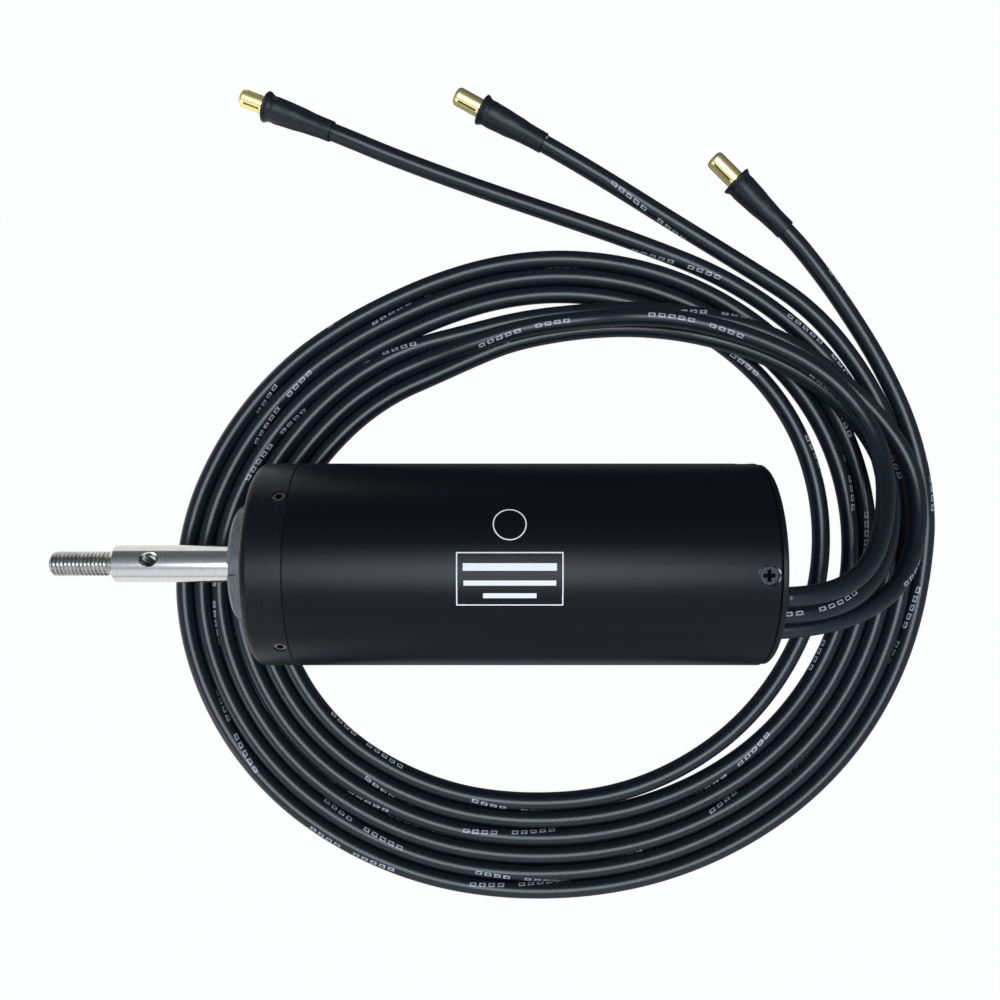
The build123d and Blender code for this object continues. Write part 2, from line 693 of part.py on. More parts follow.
def rotor_core():
    return ring(CORE_START, CORE_END, SHAFT_R, CORE_R)


def magnets():
    """Arc magnets round the core, with a space between neighbours."""
    band = ring(STATOR_START, STATOR_END, CORE_R, MAGNET_R)
    space = Pos((STATOR_START + STATOR_END) / 2, 0, (CORE_R + MAGNET_R) / 2) * Box(
        STATOR_LENGTH + 2, MAGNET_SPACE, MAGNET_THICK + 2
    )
    return band - around(space, MAGNETS)


def rotor_sleeve():
    return ring(CORE_START, CORE_END, MAGNET_R, SLEEVE_R)


def rotor_spacers():
    front = ring(FRONT_BEARING_AT + FRONT_BEARING[2], CORE_START, SHAFT_R, SHAFT_R + SPACER_WALL)
    rear = ring(CORE_END, REAR_BEARING_AT, SHAFT_R, SHAFT_R + SPACER_WALL)
    return [front, rear]


def strayed(azimuth, side):
    """How far the innermost cable lies from its neighbour, more than side by side."""
    share = abs(azimuth - LOOSE_AT) / LOOSE_SPREAD
    if side >= 0 or share >= 1:
        return 0.0
    return LOOSE_GAP * (1 + math.cos(math.pi * share)) / 2


def coil_point(step, side, edge=0.0):
    """A point of the ribbon at a step of its azimuth; side and edge move it across the ribbon."""
    azimuth = COIL_START + step * COIL_STEP_ANGLE
    radius = RIBBON_RADII[step] + side * COIL_LAY_PITCH + edge - strayed(azimuth, side)
    angle = math.radians(azimuth)
    return COIL_CENTRE[0] + radius * math.cos(angle), COIL_CENTRE[1] + radius * math.sin(angle)


def cable_coil():
    """The closed outer shape of the coiled cables: one cable high, from the ribbon's start to its end."""
    last = len(RIBBON_RADII) - 1
    one_turn = round(360 / COIL_STEP_ANGLE)
    outline = [coil_point(k, 1, CABLE_R) for k in range(last - one_turn, last + 1)]
    hollow = [coil_point(k, -1, -CABLE_R) for k in range(one_turn + 1)]
    outer_face = make_face(Spline(*outline) + Line(outline[-1], outline[0]))
    inner_face = make_face(Spline(*hollow) + Line(hollow[-1], hollow[0]))
    casing = seated(rod(0, CASING_LENGTH, CASING_R + CASING_TO_COIL))
    return extrude(outer_face - inner_face, CABLE_DIA) - casing


def bend_radii(points):
    """The largest even bends that the runs beside each corner leave room for."""
    radii = []
    for before, corner, after in zip(points, points[1:], points[2:]):
        run_in = Vector(*corner) - Vector(*before)
        run_out = Vector(*after) - Vector(*corner)
        turn = math.radians(run_in.get_angle(run_out))
        radii.append(0.45 * min(run_in.length, run_out.length) / math.tan(turn / 2))
    return radii


def tube(name, points):
    """A round cable along straight runs joined by tangent arcs."""
    radii = bend_radii(points)
    path = FilletPolyline(*points, radius=radii)
    start = Plane(origin=path @ 0, z_dir=path % 0)
    solid = sweep(start * Circle(CABLE_R), path=path)
    section = math.pi * CABLE_R**2
    print(
        f"{name}: length {path.length:.1f}, smallest radius {min(radii):.1f}, "
        f"volume {solid.volume:.0f} against {section * path.length:.0f}"
    )
    print("  radii", " ".join(f"{r:.0f}" for r in radii))
    return solid


def cable_lead(which):
    """The stretch from a grommet to the coil."""
    lead = LEADS[which]
    across, up = cable_row()[1 - lead["row"]]
    start = (LIP_FACE - MIDDLE, across, CASING_R + up)
    end = (*coil_point(0, lead["side"]), CABLE_R)
    return tube(f"{which} lead", [start, *lead["points"], end])


def connector_place(which):
    """The frame of a connector: its sleeve's cable end, with +X along the connector."""
    tail = TAILS[which]
    return Pos(*tail["sleeve"], HEAT_SHRINK_LIP_DIA / 2) * Rot(0, 0, tail["heading"])


def cable_tail(which):
    """The stretch from the coil to the cup of the connector."""
    last = len(RIBBON_RADII) - 1
    place = connector_place(which)
    start = (*coil_point(last, LEADS[which]["side"]), CABLE_R)
    entry = (place * Pos(-3, 0, 0)).position
    end = (place * Pos(CUP_AT, 0, 0)).position
    return tube(f"{which} tail", [start, *TAILS[which]["points"], tuple(entry), tuple(end)])


def heat_shrink(which):
    """The shrunk sleeve over the joint of cable and plug, with a flared lip at the plug."""
    neck = HEAT_SHRINK_LENGTH - HEAT_SHRINK_LIP_LENGTH
    sleeve = turned(
        (0, CABLE_R + HEAT_SHRINK_GAP),
        (0, HEAT_SHRINK_END_DIA / 2),
        (CUP_AT, HEAT_SHRINK_CUP_DIA / 2 - 0.35),
        (CUP_AT + 3, HEAT_SHRINK_CUP_DIA / 2),
        (neck, HEAT_SHRINK_NECK_DIA / 2),
        (HEAT_SHRINK_LENGTH - 0.7, HEAT_SHRINK_LIP_DIA / 2 - 0.1),
        (HEAT_SHRINK_LENGTH, HEAT_SHRINK_LIP_DIA / 2),
        (HEAT_SHRINK_LENGTH, PLUG_COLLAR_DIA / 2 + HEAT_SHRINK_GAP),
        (COLLAR_AT, PLUG_COLLAR_DIA / 2 + HEAT_SHRINK_GAP),
        (COLLAR_AT, PLUG_CUP_DIA / 2 + HEAT_SHRINK_GAP),
        (CUP_AT, PLUG_CUP_DIA / 2 + HEAT_SHRINK_GAP),
        (CUP_AT, CABLE_R + HEAT_SHRINK_GAP),
    )
    return connector_place(which) * sleeve


def bullet_plug(which):
    """A round plug with a solder cup, a collar and a slotted nose."""
    tip = HEAT_SHRINK_LENGTH + TAILS[which]["reach"]
    nose_r = PLUG_DIA / 2
    body = turned(
        (CUP_AT, 0),
        (CUP_AT, PLUG_CUP_DIA / 2),
        (COLLAR_AT, PLUG_CUP_DIA / 2),
        (COLLAR_AT, PLUG_COLLAR_DIA / 2),
        (HEAT_SHRINK_LENGTH, PLUG_COLLAR_DIA / 2),
        (HEAT_SHRINK_LENGTH, nose_r),
        (tip, nose_r),
        (tip, 0),
    )
    rim = body.edges().filter_by(GeomType.CIRCLE).group_by(Axis.X)[-1]
    body = fillet(rim, PLUG_TIP_ROUND)
    slot_from = HEAT_SHRINK_LENGTH + PLUG_SLOT_START
    slot_to = tip - PLUG_SLOT_TO_TIP
    for k in range(PLUG_SLOTS):
        slot = Pos((slot_from + slot_to) / 2, 0, 0) * Box(slot_to - slot_from, PLUG_SLOT_WIDTH, PLUG_DIA + 2)
        body -= rolled(slot, 45 + 180 * k / PLUG_SLOTS)
    return connector_place(which) * body


def motor_pieces():
    """Every piece of the motor, by name, drawn on the shaft line."""
    seal_at = CARRIER_LIP - CARRIER_HEIGHT
    front_groove = FRONT_BAND + CAP_GROOVE_INSET + O_RING_GROOVE / 2
    rear_groove = REAR_PLUG_START + CAP_GROOVE_INSET + O_RING_GROOVE / 2
    groove_r = BORE_R - O_RING_HEIGHT - O_RING_SQUEEZE_GAP
    carrier_groove_r = CARRIER_THREAD / 2 - SLIP - CARRIER_O_RING_HEIGHT
    return {
        "casing_tube": casing_tube(),
        "front_cap": front_cap(),
        "front_cap_o_ring": o_ring(front_groove, groove_r, O_RING_HEIGHT),
        "grub_screws": grub_screws(),
        "seal_carrier": seal_carrier(),
        "carrier_o_ring": o_ring(CARRIER_GROOVE_INSET + O_RING_GROOVE / 2, carrier_groove_r, CARRIER_O_RING_HEIGHT),
        "outer_shaft_seal": shaft_seal(seal_at),
        "inner_shaft_seal": shaft_seal(seal_at + SEAL_WIDTH),
        "rear_cap": rear_cap(),
        "rear_cap_o_ring": o_ring(rear_groove, groove_r, O_RING_HEIGHT),
        "rear_screws": rear_screws(),
        "cable_grommets": grommets(),
        "phase_leads": phase_leads(),
        "phase_terminals": phase_terminals(),
        "terminal_ring": terminal_ring(),
        "stator_core": stator_core(),
        "end_insulators": end_insulators(),
        "windings": windings(),
        "preload_spring": preload_spring(),
        "front_outer_race": outer_race(FRONT_BEARING_AT, FRONT_BEARING),
        "front_inner_race": inner_race(FRONT_BEARING_AT, FRONT_BEARING),
        "front_balls": ball_set(FRONT_BEARING_AT, FRONT_BEARING),
        "front_cage": ball_cage(FRONT_BEARING_AT, FRONT_BEARING),
        "rear_outer_race": outer_race(REAR_BEARING_AT, REAR_BEARING),
        "rear_inner_race": inner_race(REAR_BEARING_AT, REAR_BEARING),
        "rear_balls": ball_set(REAR_BEARING_AT, REAR_BEARING),
        "rear_cage": ball_cage(REAR_BEARING_AT, REAR_BEARING),
        "shaft": shaft(),
        "shaft_circlip": shaft_circlip(),
        "rotor_spacers": rotor_spacers(),
        "rotor_core": rotor_core(),
        "magnets": magnets(),
        "rotor_sleeve": rotor_sleeve(),
    }


def cable_pieces():
    """The coil, and each cable's free stretches, sleeve and plug, where they lie."""
    pieces = {"cable_coil": cable_coil()}
    for which in LEADS:
        pieces[f"{which}_cable_lead"] = cable_lead(which)
        pieces[f"{which}_cable_tail"] = cable_tail(which)
        pieces[f"{which}_heat_shrink"] = heat_shrink(which)
        pieces[f"{which}_bullet_plug"] = bullet_plug(which)
    return pieces


def solids_of(shape):
    """The solids of a piece, whether it was made as one shape or as a list."""
    shapes = shape if isinstance(shape, list) else [shape]
    return [solid for one in shapes for solid in one.solids()]


def main():
    os.makedirs("parts", exist_ok=True)
    pieces = {name: [seated(solid) for solid in solids_of(shape)] for name, shape in motor_pieces().items()}
    pieces.update({name: solids_of(shape) for name, shape in cable_pieces().items()})
    for name, solids in pieces.items():
        export_step(solids[0] if len(solids) == 1 else Compound(solids), f"parts/{name}.step")


main()
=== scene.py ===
"""Looks of a sealed in-water drive motor with three coiled phase cables.

The motor lies on its side on a pale floor, with its shaft along -X and +Z up, and is seen from straight above.
Sizes are in millimetres in the classes below, and become metres when a mesh is made.
"""

from __future__ import annotations

import logging
import math
from dataclasses import dataclass
from enum import Enum

import bpy
import numpy as np
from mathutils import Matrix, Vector

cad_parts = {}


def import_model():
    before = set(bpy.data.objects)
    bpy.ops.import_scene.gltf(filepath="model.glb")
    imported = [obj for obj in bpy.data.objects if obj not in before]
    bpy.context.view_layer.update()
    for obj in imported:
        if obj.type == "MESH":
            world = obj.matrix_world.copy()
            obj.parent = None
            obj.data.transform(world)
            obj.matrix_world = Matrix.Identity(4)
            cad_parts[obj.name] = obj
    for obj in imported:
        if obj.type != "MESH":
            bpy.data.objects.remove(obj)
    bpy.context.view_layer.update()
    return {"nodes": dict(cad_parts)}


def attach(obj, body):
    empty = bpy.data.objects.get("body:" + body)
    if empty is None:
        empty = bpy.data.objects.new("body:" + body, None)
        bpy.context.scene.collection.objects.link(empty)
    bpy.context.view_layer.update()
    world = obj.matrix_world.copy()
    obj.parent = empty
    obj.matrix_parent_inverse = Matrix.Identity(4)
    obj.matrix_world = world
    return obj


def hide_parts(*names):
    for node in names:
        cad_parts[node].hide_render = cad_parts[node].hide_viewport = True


LOG = logging.getLogger("drive_motor")
MM = 0.001
DECIMETRE = 100.0
# The noise values between which a finish drifts from its colour to its tone.
GRAIN_RANGE = (0.35, 0.68)
# The casing's radius is also the height of the shaft's line.
CASING_R = 32.5
# The height of the plugs' lines.
PLUG_Z = 5.5


def linear(colour: str) -> tuple[float, float, float, float]:
    """Turn an sRGB hex colour into linear light.

    Args:
        colour: six hex digits, such as "1e2024".

    Returns:
        Red, green, blue and an alpha of 1.
    """
    parts = [int(colour[k : k + 2], 16) / 255 for k in (0, 2, 4)]
    red, green, blue = (p / 12.92 if p <= 0.04045 else ((p + 0.055) / 1.055) ** 2.4 for p in parts)
    return red, green, blue, 1.0


def add_node(
    tree: bpy.types.NodeTree, kind: str, settings: dict | None = None, links: dict | None = None
) -> bpy.types.Node:
    """Add a node with its settings and links.

    Args:
        tree: the material's node tree.
        kind: the node's type name, without its "ShaderNode" start.
        settings: attribute names, or socket names or numbers, and their values.
        links: socket names or numbers, and the output sockets that feed them.

    Returns:
        The new node.
    """
    made = tree.nodes.new("ShaderNode" + kind)
    for key, value in (settings or {}).items():
        if isinstance(key, str) and hasattr(made, key):
            setattr(made, key, value)
        else:
            made.inputs[key].default_value = value
    for key, source in (links or {}).items():
        tree.links.new(source, made.inputs[key])
    return made


class Along(Enum):
    """The direction in which a surface's working marks run."""

    NONE = (1.0, 1.0, 1.0)
    SHAFT = (0.08, 1.0, 1.0)
    ROUND_SHAFT = (1.0, 0.08, 0.08)


@dataclass(frozen=True)
class Finish:
    """A surface finish: a base colour broken by a second tone, with its own grain and gloss.

    Attributes:
        name: the material's name.
        colour: its main sRGB colour.
        tone: the sRGB colour that the grain drifts to.
        metallic: 0 for a dielectric, 1 for a metal.
        roughness: the middle roughness.
        spread: how far the grain moves the roughness each way.
        grain_mm: the size of the grain, drawn no finer than the picture can show.
        relief_mm: the depth of the grain.
        marks: the direction of the working marks.
        ior: the refractive index.
    """

    name: str
    colour: str
    tone: str
    metallic: float
    roughness: float
    spread: float = 0.05
    grain_mm: float = 1.0
    relief_mm: float = 0.0
    marks: Along = Along.NONE
    ior: float = 1.5

    def build(self) -> bpy.types.Material:
        """Make the material, or find it again.

        Returns:
            The material.
        """
        found = bpy.data.materials.get(self.name)
        if found is not None:
            return found
        made = bpy.data.materials.new(self.name)
        made.use_nodes = True
        tree = made.node_tree
        shader = tree.nodes["Principled BSDF"]
        shader.inputs["Metallic"].default_value = self.metallic
        shader.inputs["IOR"].default_value = self.ior
        self.lay(tree, shader)
        return made

    def lay(self, tree: bpy.types.NodeTree, shader: bpy.types.Node) -> None:
        """Lay the grain's colour, gloss and relief.

        Args:
            tree: the material's node tree.
            shader: its surface shader.
        """
        place = add_node(tree, "TexCoord")
        scale = [part / (self.grain_mm * MM) for part in self.marks.value]
        sized = add_node(tree, "Mapping", {"Scale": scale}, {"Vector": place.outputs["Object"]})
        grain = add_node(tree, "TexNoise", {"Scale": 1.0, "Detail": 3.0}, {"Vector": sized.outputs[0]})
        tones = add_node(tree, "ValToRGB", links={0: grain.outputs["Fac"]})
        for stop, position, colour in zip(tones.color_ramp.elements, GRAIN_RANGE, (self.colour, self.tone)):
            stop.position = position
            stop.color = linear(colour)
        low, high = self.roughness - self.spread, self.roughness + self.spread
        gloss = add_node(tree, "MapRange", {"To Min": low, "To Max": high}, {"Value": grain.outputs["Fac"]})
        tree.links.new(self.coloured(tree, tones.outputs[0]), shader.inputs["Base Color"])
        tree.links.new(gloss.outputs[0], shader.inputs["Roughness"])
        if self.relief_mm > 0:
            settings = {"Strength": 1.0, "Distance": self.relief_mm * MM}
            relief = add_node(tree, "Bump", settings, {"Height": grain.outputs["Fac"]})
            tree.links.new(relief.outputs[0], shader.inputs["Normal"])

    def coloured(self, tree: bpy.types.NodeTree, base: bpy.types.NodeSocket) -> bpy.types.NodeSocket:
        """The colour that the shader gets: the grain's own.

        Args:
            tree: the material's node tree.
            base: the grain's colour.

        Returns:
            The colour's output socket.
        """
        return base


@dataclass(frozen=True)
class PrintedJacket(Finish):
    """A cable jacket with worn, hollow dashes printed along it, in two groups for each length of print.

    Attributes:
        ink: the dashes' sRGB colour.
        repeat_mm: the distance from one print to the next.
        groups_mm: where each group of dashes starts and ends.
        dash_mm: the distance from one dash to the next.
        filled: the share of that distance that a dash fills.
        stroke_mm: the width of a dash's outline.
        height: the print's height, as a share of the way round the cable.
        stroke: the width of a dash's outline, as a share of the way round.
        top: the cable's top, as a share of the way round.
        twist: how far the print wanders round the cable, in turns.
        wander: how many bends of that wandering there are in each decimetre.
        flecks: how many worn flecks there are in each metre.
        cover: how much of the ink is left, as a factor and a sum on the flecks' noise.
    """

    ink: str = "b2b6bc"
    repeat_mm: float = 60.0
    groups_mm: tuple[tuple[float, float], tuple[float, float]] = ((0.0, 13.0), (17.4, 33.6))
    dash_mm: float = 3.3
    filled: float = 0.7
    stroke_mm: float = 0.5
    height: float = 0.072
    stroke: float = 0.02
    top: float = 0.25
    twist: float = 2.6
    wander: float = 0.42
    flecks: float = 1100.0
    cover: tuple[float, float] = (1.2, 0.1)

    def coloured(self, tree: bpy.types.NodeTree, base: bpy.types.NodeSocket) -> bpy.types.NodeSocket:
        """Mix the dashes over the jacket's colour.

        The piece's UV map gives the length along the cable in decimetres, and the way round it in turns. A
        dash is where the place within its group is close to the dash's middle, and where the way round is
        close to the line that the print wanders along. A smaller dash is taken out of it.

        Args:
            tree: the material's node tree.
            base: the jacket's colour.

        Returns:
            The colour's output socket.
        """

        def count(
            operation: str, first: bpy.types.NodeSocket, second: object = 0.0, third: float = 0.0
        ) -> bpy.types.NodeSocket:
            """Take one step of arithmetic.

            Args:
                operation: the step's name.
                first: the socket that gives the first value.
                second: a socket or a number.
                third: a number.

            Returns:
                The result's socket.
            """
            settings = {"operation": operation, 2: third}
            if isinstance(second, float):
                settings[1] = second
                return add_node(tree, "Math", settings, {0: first}).outputs[0]
            return add_node(tree, "Math", settings, {0: first, 1: second}).outputs[0]

        parts = add_node(tree, "SeparateXYZ", links={0: add_node(tree, "TexCoord").outputs["UV"]})
        within = count("FLOORED_MODULO", count("MULTIPLY", parts.outputs[0], DECIMETRE), self.repeat_mm)
        inside, dashes = [], []
        for start, end in self.groups_mm:
            dashes.append(count("FLOORED_MODULO", count("SUBTRACT", within, start), self.dash_mm))
            inside.append(count("COMPARE", within, (start + end) / 2, (end - start) / 2))
        settings = {"noise_dimensions": "1D", "Scale": self.wander, "Detail": 0.0}
        drift = add_node(tree, "TexNoise", settings, {"W": parts.outputs[0]})
        line = count("MULTIPLY_ADD", drift.outputs["Fac"], self.twist, self.top - self.twist / 2)
        away = count("SUBTRACT", parts.outputs[1], count("SUBTRACT", line, 0.5))
        turned = count("FLOORED_MODULO", away, 1.0)
        half = self.filled * self.dash_mm / 2
        shapes = []
        for reach, rise in ((half, self.height / 2), (half - self.stroke_mm, self.height / 2 - self.stroke)):
            drawn = [count("COMPARE", dash, half, reach) for dash in dashes]
            shares = [count("MULTIPLY", gate, shape) for gate, shape in zip(inside, drawn)]
            shapes.append(count("MULTIPLY", count("MAXIMUM", *shares), count("COMPARE", turned, 0.5, rise)))
        place = add_node(tree, "TexCoord").outputs["Object"]
        worn = add_node(tree, "TexNoise", {"Scale": self.flecks, "Detail": 1.0}, {"Vector": place})
        ink = count("SUBTRACT", *shapes)
        kept = count("MULTIPLY", ink, count("MULTIPLY_ADD", worn.outputs["Fac"], *self.cover))
        mixed = add_node(tree, "Mix", {"data_type": "RGBA", 7: linear(self.ink)}, {0: kept, 6: base})
        return mixed.outputs[2]


@dataclass(frozen=True)
class SocketSteel(Finish):
    """The steel of screws in the casing's side, with painted shade that darkens their sockets towards the floor.

    Attributes:
        floor_mm: the distance from the shaft's line at which the painted shade is full.
        face_mm: the distance at which the painted shade ends.
    """

    floor_mm: float = 31.0
    face_mm: float = 31.6

    def coloured(self, tree: bpy.types.NodeTree, base: bpy.types.NodeSocket) -> bpy.types.NodeSocket:
        """Paint shade on the steel, darker towards the floor of its socket.

        Args:
            tree: the material's node tree.
            base: the grain's colour.

        Returns:
            The colour's output socket.
        """
        place = add_node(tree, "TexCoord").outputs["Object"]
        offset = {"operation": "MULTIPLY_ADD", 1: (0.0, 1.0, 1.0), 2: (0.0, 0.0, -CASING_R * MM)}
        side = add_node(tree, "VectorMath", offset, {0: place})
        reach = add_node(tree, "VectorMath", {"operation": "LENGTH"}, {0: side.outputs[0]})
        limits = {"From Min": self.floor_mm * MM, "From Max": self.face_mm * MM}
        unshaded_share = add_node(tree, "MapRange", limits, {"Value": reach.outputs["Value"]})
        # Painted shade: the steel goes near black towards the socket's floor.
        painted_socket_shade = {"data_type": "RGBA", 6: linear("050506")}
        return add_node(tree, "Mix", painted_socket_shade, {0: unshaded_share.outputs[0], 7: base}).outputs[2]


@dataclass(frozen=True)
class LitPaper(Finish):
    """White paper that is lit from behind, so that it shows no shadow.

    Attributes:
        glow: the strength of its own light.
    """

    glow: float = 0.98

    def lay(self, tree: bpy.types.NodeTree, shader: bpy.types.Node) -> None:
        """Lay the paper's plain surface and its own light.

        Args:
            tree: the material's node tree.
            shader: its surface shader.
        """
        shader.inputs["Base Color"].default_value = linear(self.colour)
        shader.inputs["Roughness"].default_value = self.roughness
        shader.inputs["Emission Color"].default_value = linear(self.tone)
        shader.inputs["Emission Strength"].default_value = self.glow


# Hard anodised aluminium, blasted before it was dyed: a satin black with a soft, broad shine.
ANODISED = Finish("black_anodised_aluminium", "07090e", "0b0e15", 0.0, 0.34, 0.03, 0.35, 0.004, ior=1.25)
# The same, on faces that were turned after blasting: finer marks run round the shaft.
TURNED_BLACK = Finish(
    "turned_anodised_aluminium", "0a0c11", "10131a", 0.0, 0.33, 0.05, 0.3, 0.004, Along.ROUND_SHAFT, 1.3
)
# The front cap's band, turned after blasting and dyed with the rest.
TURNED_BAND = Finish(
    "turned_anodised_band", "080a0e", "12161d", 0.0, 0.36, 0.05, 0.4, 0.005, Along.ROUND_SHAFT, 1.27
)
# The seal carrier's anodising, turned and hardly dyed: a satin grey with fine marks round the shaft.
TURNED_GREY = Finish(
    "turned_grey_aluminium", "56595c", "66696b", 0.0, 0.34, 0.05, 0.3, 0.004, Along.ROUND_SHAFT, 1.3
)
# The sharp edge of a countersink, where the black has rubbed off in places; the light grey of these rings is
# also a painted highlight on the rims.
RIM_WEAR_AND_HIGHLIGHT = Finish("worn_rim_and_painted_highlight", "15171b", "b4b7bb", 0.6, 0.32, 0.06, 1.6, 0.0)
# Ground stainless steel: bright, with marks round the shaft.
STAINLESS = Finish(
    "ground_stainless_steel", "dfddd8", "d0cec9", 1.0, 0.17, 0.04, 0.25, 0.001, Along.ROUND_SHAFT
)
# Rolled thread on the same steel: a little duller between its crests.
THREAD = Finish("rolled_thread_steel", "cfcdc8", "a5a3a0", 1.0, 0.24, 0.06, 0.4, 0.003, Along.ROUND_SHAFT)
# Ball-bearing steel, lapped: almost a mirror.
BEARING = Finish("lapped_bearing_steel", "c6c6c6", "bdbdbe", 1.0, 0.12, 0.03, 0.5, 0.0, Along.ROUND_SHAFT)
# Spring steel and circlip steel, handled and a little stained.
SCREW = Finish("plain_screw_steel", "5e6064", "7d7f83", 1.0, 0.34, 0.06, 0.3, 0.002)
# The rear screws' thin black oxide, worn to grey steel, with painted shade in their sockets.
OXIDE = SocketSteel("black_oxide_screw", "212328", "36383d", 1.0, 0.36, 0.06, 0.3, 0.002)
# The set screws' faces are plain steel, rubbed bright by the key, with painted shade in their sockets.
RUBBED_SCREW = SocketSteel("rubbed_set_screw", "5e6064", "727478", 1.0, 0.3, 0.06, 0.3, 0.002)
# Moulded nitrile rubber: matt, with a trace of bloom.
RUBBER = Finish("moulded_nitrile_rubber", "111112", "1a1a1b", 0.0, 0.62, 0.06, 0.6, 0.01)
# Extruded silicone jacket: deep black, waxy, with faint dust and a worn print.
SILICONE = PrintedJacket("extruded_silicone_jacket", "0d121b", "131924", 0.0, 0.3, 0.05, 0.8, 0.004, ior=1.42)
# Shrunk polyolefin tube: black and slightly dull, with shallow wrinkles.
SHRINK = Finish("shrunk_polyolefin_tube", "0c1019", "141923", 0.0, 0.42, 0.06, 1.6, 0.03, ior=1.38)
# Gold flash over turned brass: warm, with fine turning marks.
GOLD = Finish("gold_flashed_brass", "fff2b4", "f5e29a", 1.0, 0.36, 0.06, 0.3, 0.001)
# Tinned copper terminal barrels.
TINNED = Finish("tinned_copper", "b9b2a6", "a39c90", 1.0, 0.35, 0.06, 0.5, 0.002)
# Enamelled winding wire: copper seen through amber varnish, drawn as wires 0.9 mm apart.
WINDING = Finish("enamelled_copper_wire", "a4572c", "6f3214", 0.7, 0.3, 0.08, 0.9, 0.15, Along.SHAFT)
# Stacked electrical steel, with a coat of varnish on its edges.
LAMINATED = Finish(
    "stacked_electrical_steel", "5b5c5e", "77787a", 0.9, 0.42, 0.06, 0.5, 0.01, Along.ROUND_SHAFT
)
# Nickel-plated sintered magnets.
MAGNET = Finish("nickel_plated_magnet", "a7a59f", "8f8d88", 1.0, 0.28, 0.05, 0.6, 0.0)
# Natural nylon of cages and slot liners.
NYLON = Finish("natural_nylon", "d8d3c4", "c9c3b2", 0.0, 0.5, 0.05, 0.8, 0.004)
# Glass-epoxy board of the terminal ring, with its weave 0.6 mm apart.
BOARD = Finish("glass_epoxy_board", "7f7a3e", "6b6631", 0.0, 0.45, 0.05, 0.6, 0.004)
# White screen-print ink on the casing.
INK = Finish("white_screen_ink", "e9eaea", "dcdddd", 0.0, 0.55, 0.03, 0.4, 0.0)
# Studio paper on a light table.
PAPER = LitPaper("studio_paper", "101010", "fdfefe", 0.0, 0.9, 0.02, 2.0, 0.0)


def make_piece(
    name: str, rows: np.ndarray, finish: Finish, around: bool = True, spread: tuple | None = None
) -> bpy.types.Object:
    """Make an object from a grid of points.

    Each cell of the grid is one face. A grid that closes on itself joins its last column to its first, and each
    of its end rows is closed by faces to one point at that row's middle.

    Args:
        name: the object's name.
        rows: the points in millimetres, as rows by columns by 3.
        finish: its surface finish.
        around: True where the columns close on themselves.
        spread: the UV map's two values, each as rows by columns.

    Returns:
        The object.
    """
    count, columns = rows.shape[:2]
    points = rows.reshape(-1, 3)
    row = np.arange(count - 1)[:, None] * columns
    column = np.arange(columns if around else columns - 1)[None, :]
    follow = (column + 1) % columns
    corners = [row + column, row + follow, row + columns + follow, row + columns + column]
    every = np.stack(corners, -1).reshape(-1, 4).tolist()
    if around:
        points = np.vstack([points, rows[0].mean(0), rows[-1].mean(0)])
        last = (count - 1) * columns
        first_pole, last_pole = count * columns, count * columns + 1
        side = np.arange(columns)
        after = (side + 1) % columns
        every += np.stack([np.full(columns, first_pole), after, side], -1).tolist()
        every += np.stack([np.full(columns, last_pole), last + side, last + after], -1).tolist()
    mesh = bpy.data.meshes.new(name)
    mesh.from_pydata((points * MM).tolist(), [], every)
    if spread is not None:
        lay_uv(mesh, spread, count, columns)
    mesh.shade_smooth()
    mesh.materials.append(finish.build())
    piece = bpy.data.objects.new(name, mesh)
    bpy.context.scene.collection.objects.link(piece)
    return piece


def lay_uv(mesh: bpy.types.Mesh, spread: tuple, count: int, columns: int) -> None:
    """Lay a UV map on a closed grid, so that the last column's faces run on past one whole turn.

    Args:
        mesh: the grid's mesh.
        spread: the two values at each point, each as rows by columns.
        count: the number of rows.
        columns: the number of columns.
    """
    first, second = (part.reshape(-1) for part in spread)
    corners = np.zeros(len(mesh.loops), int)
    mesh.loops.foreach_get("vertex_index", corners)
    ends = np.where(corners == count * columns, 0, (count - 1) * columns)
    safe = np.where(corners < count * columns, corners, ends)
    values = np.stack([first[safe], second[safe]], -1)
    quads = (count - 1) * columns
    cells = values[: quads * 4].reshape(-1, 4, 2)
    wraps = (cells[:, :, 1].max(1) - cells[:, :, 1].min(1)) > 0.5
    cells[wraps, :, 1] += cells[wraps, :, 1] < 0.5
    layer = mesh.uv_layers.new(name="along_and_round")
    layer.data.foreach_set("uv", values.reshape(-1).astype(np.float32))


@dataclass
class Line:
    """A straight axis that turned pieces stand on: a start, a direction and an upward side."""

    start: tuple[float, float, float]
    heading: float = 0.0

    def frame(self) -> tuple[np.ndarray, np.ndarray, np.ndarray, np.ndarray]:
        """Work out the axis's own directions.

        Returns:
            The start, and the unit vectors along, across and up.
        """
        turn = math.radians(self.heading)
        along = np.array([math.cos(turn), math.sin(turn), 0.0])
        across = np.array([-math.sin(turn), math.cos(turn), 0.0])
        return np.array(self.start), along, across, np.array([0.0, 0.0, 1.0])

    def sweep(self, stations: np.ndarray, radii: np.ndarray, columns: int = 64) -> np.ndarray:
        """Carry a profile round the axis.

        A point is start + station * along + radius * (cos a * across + sin a * up), for each angle a.

        Args:
            stations: the distance along the axis for each row, or for each row and column.
            radii: the distance from the axis, likewise.
            columns: how many points go round.

        Returns:
            The points, as rows by columns by 3.
        """
        start, along, across, up = self.frame()
        angle = np.linspace(0, 2 * math.pi, columns, endpoint=False)
        station = np.broadcast_to(stations.reshape(len(stations), -1), (len(stations), columns))
        radius = np.broadcast_to(radii.reshape(len(radii), -1), (len(radii), columns))
        ring = np.cos(angle)[:, None] * across + np.sin(angle)[:, None] * up
        return start + station[..., None] * along + radius[..., None] * ring


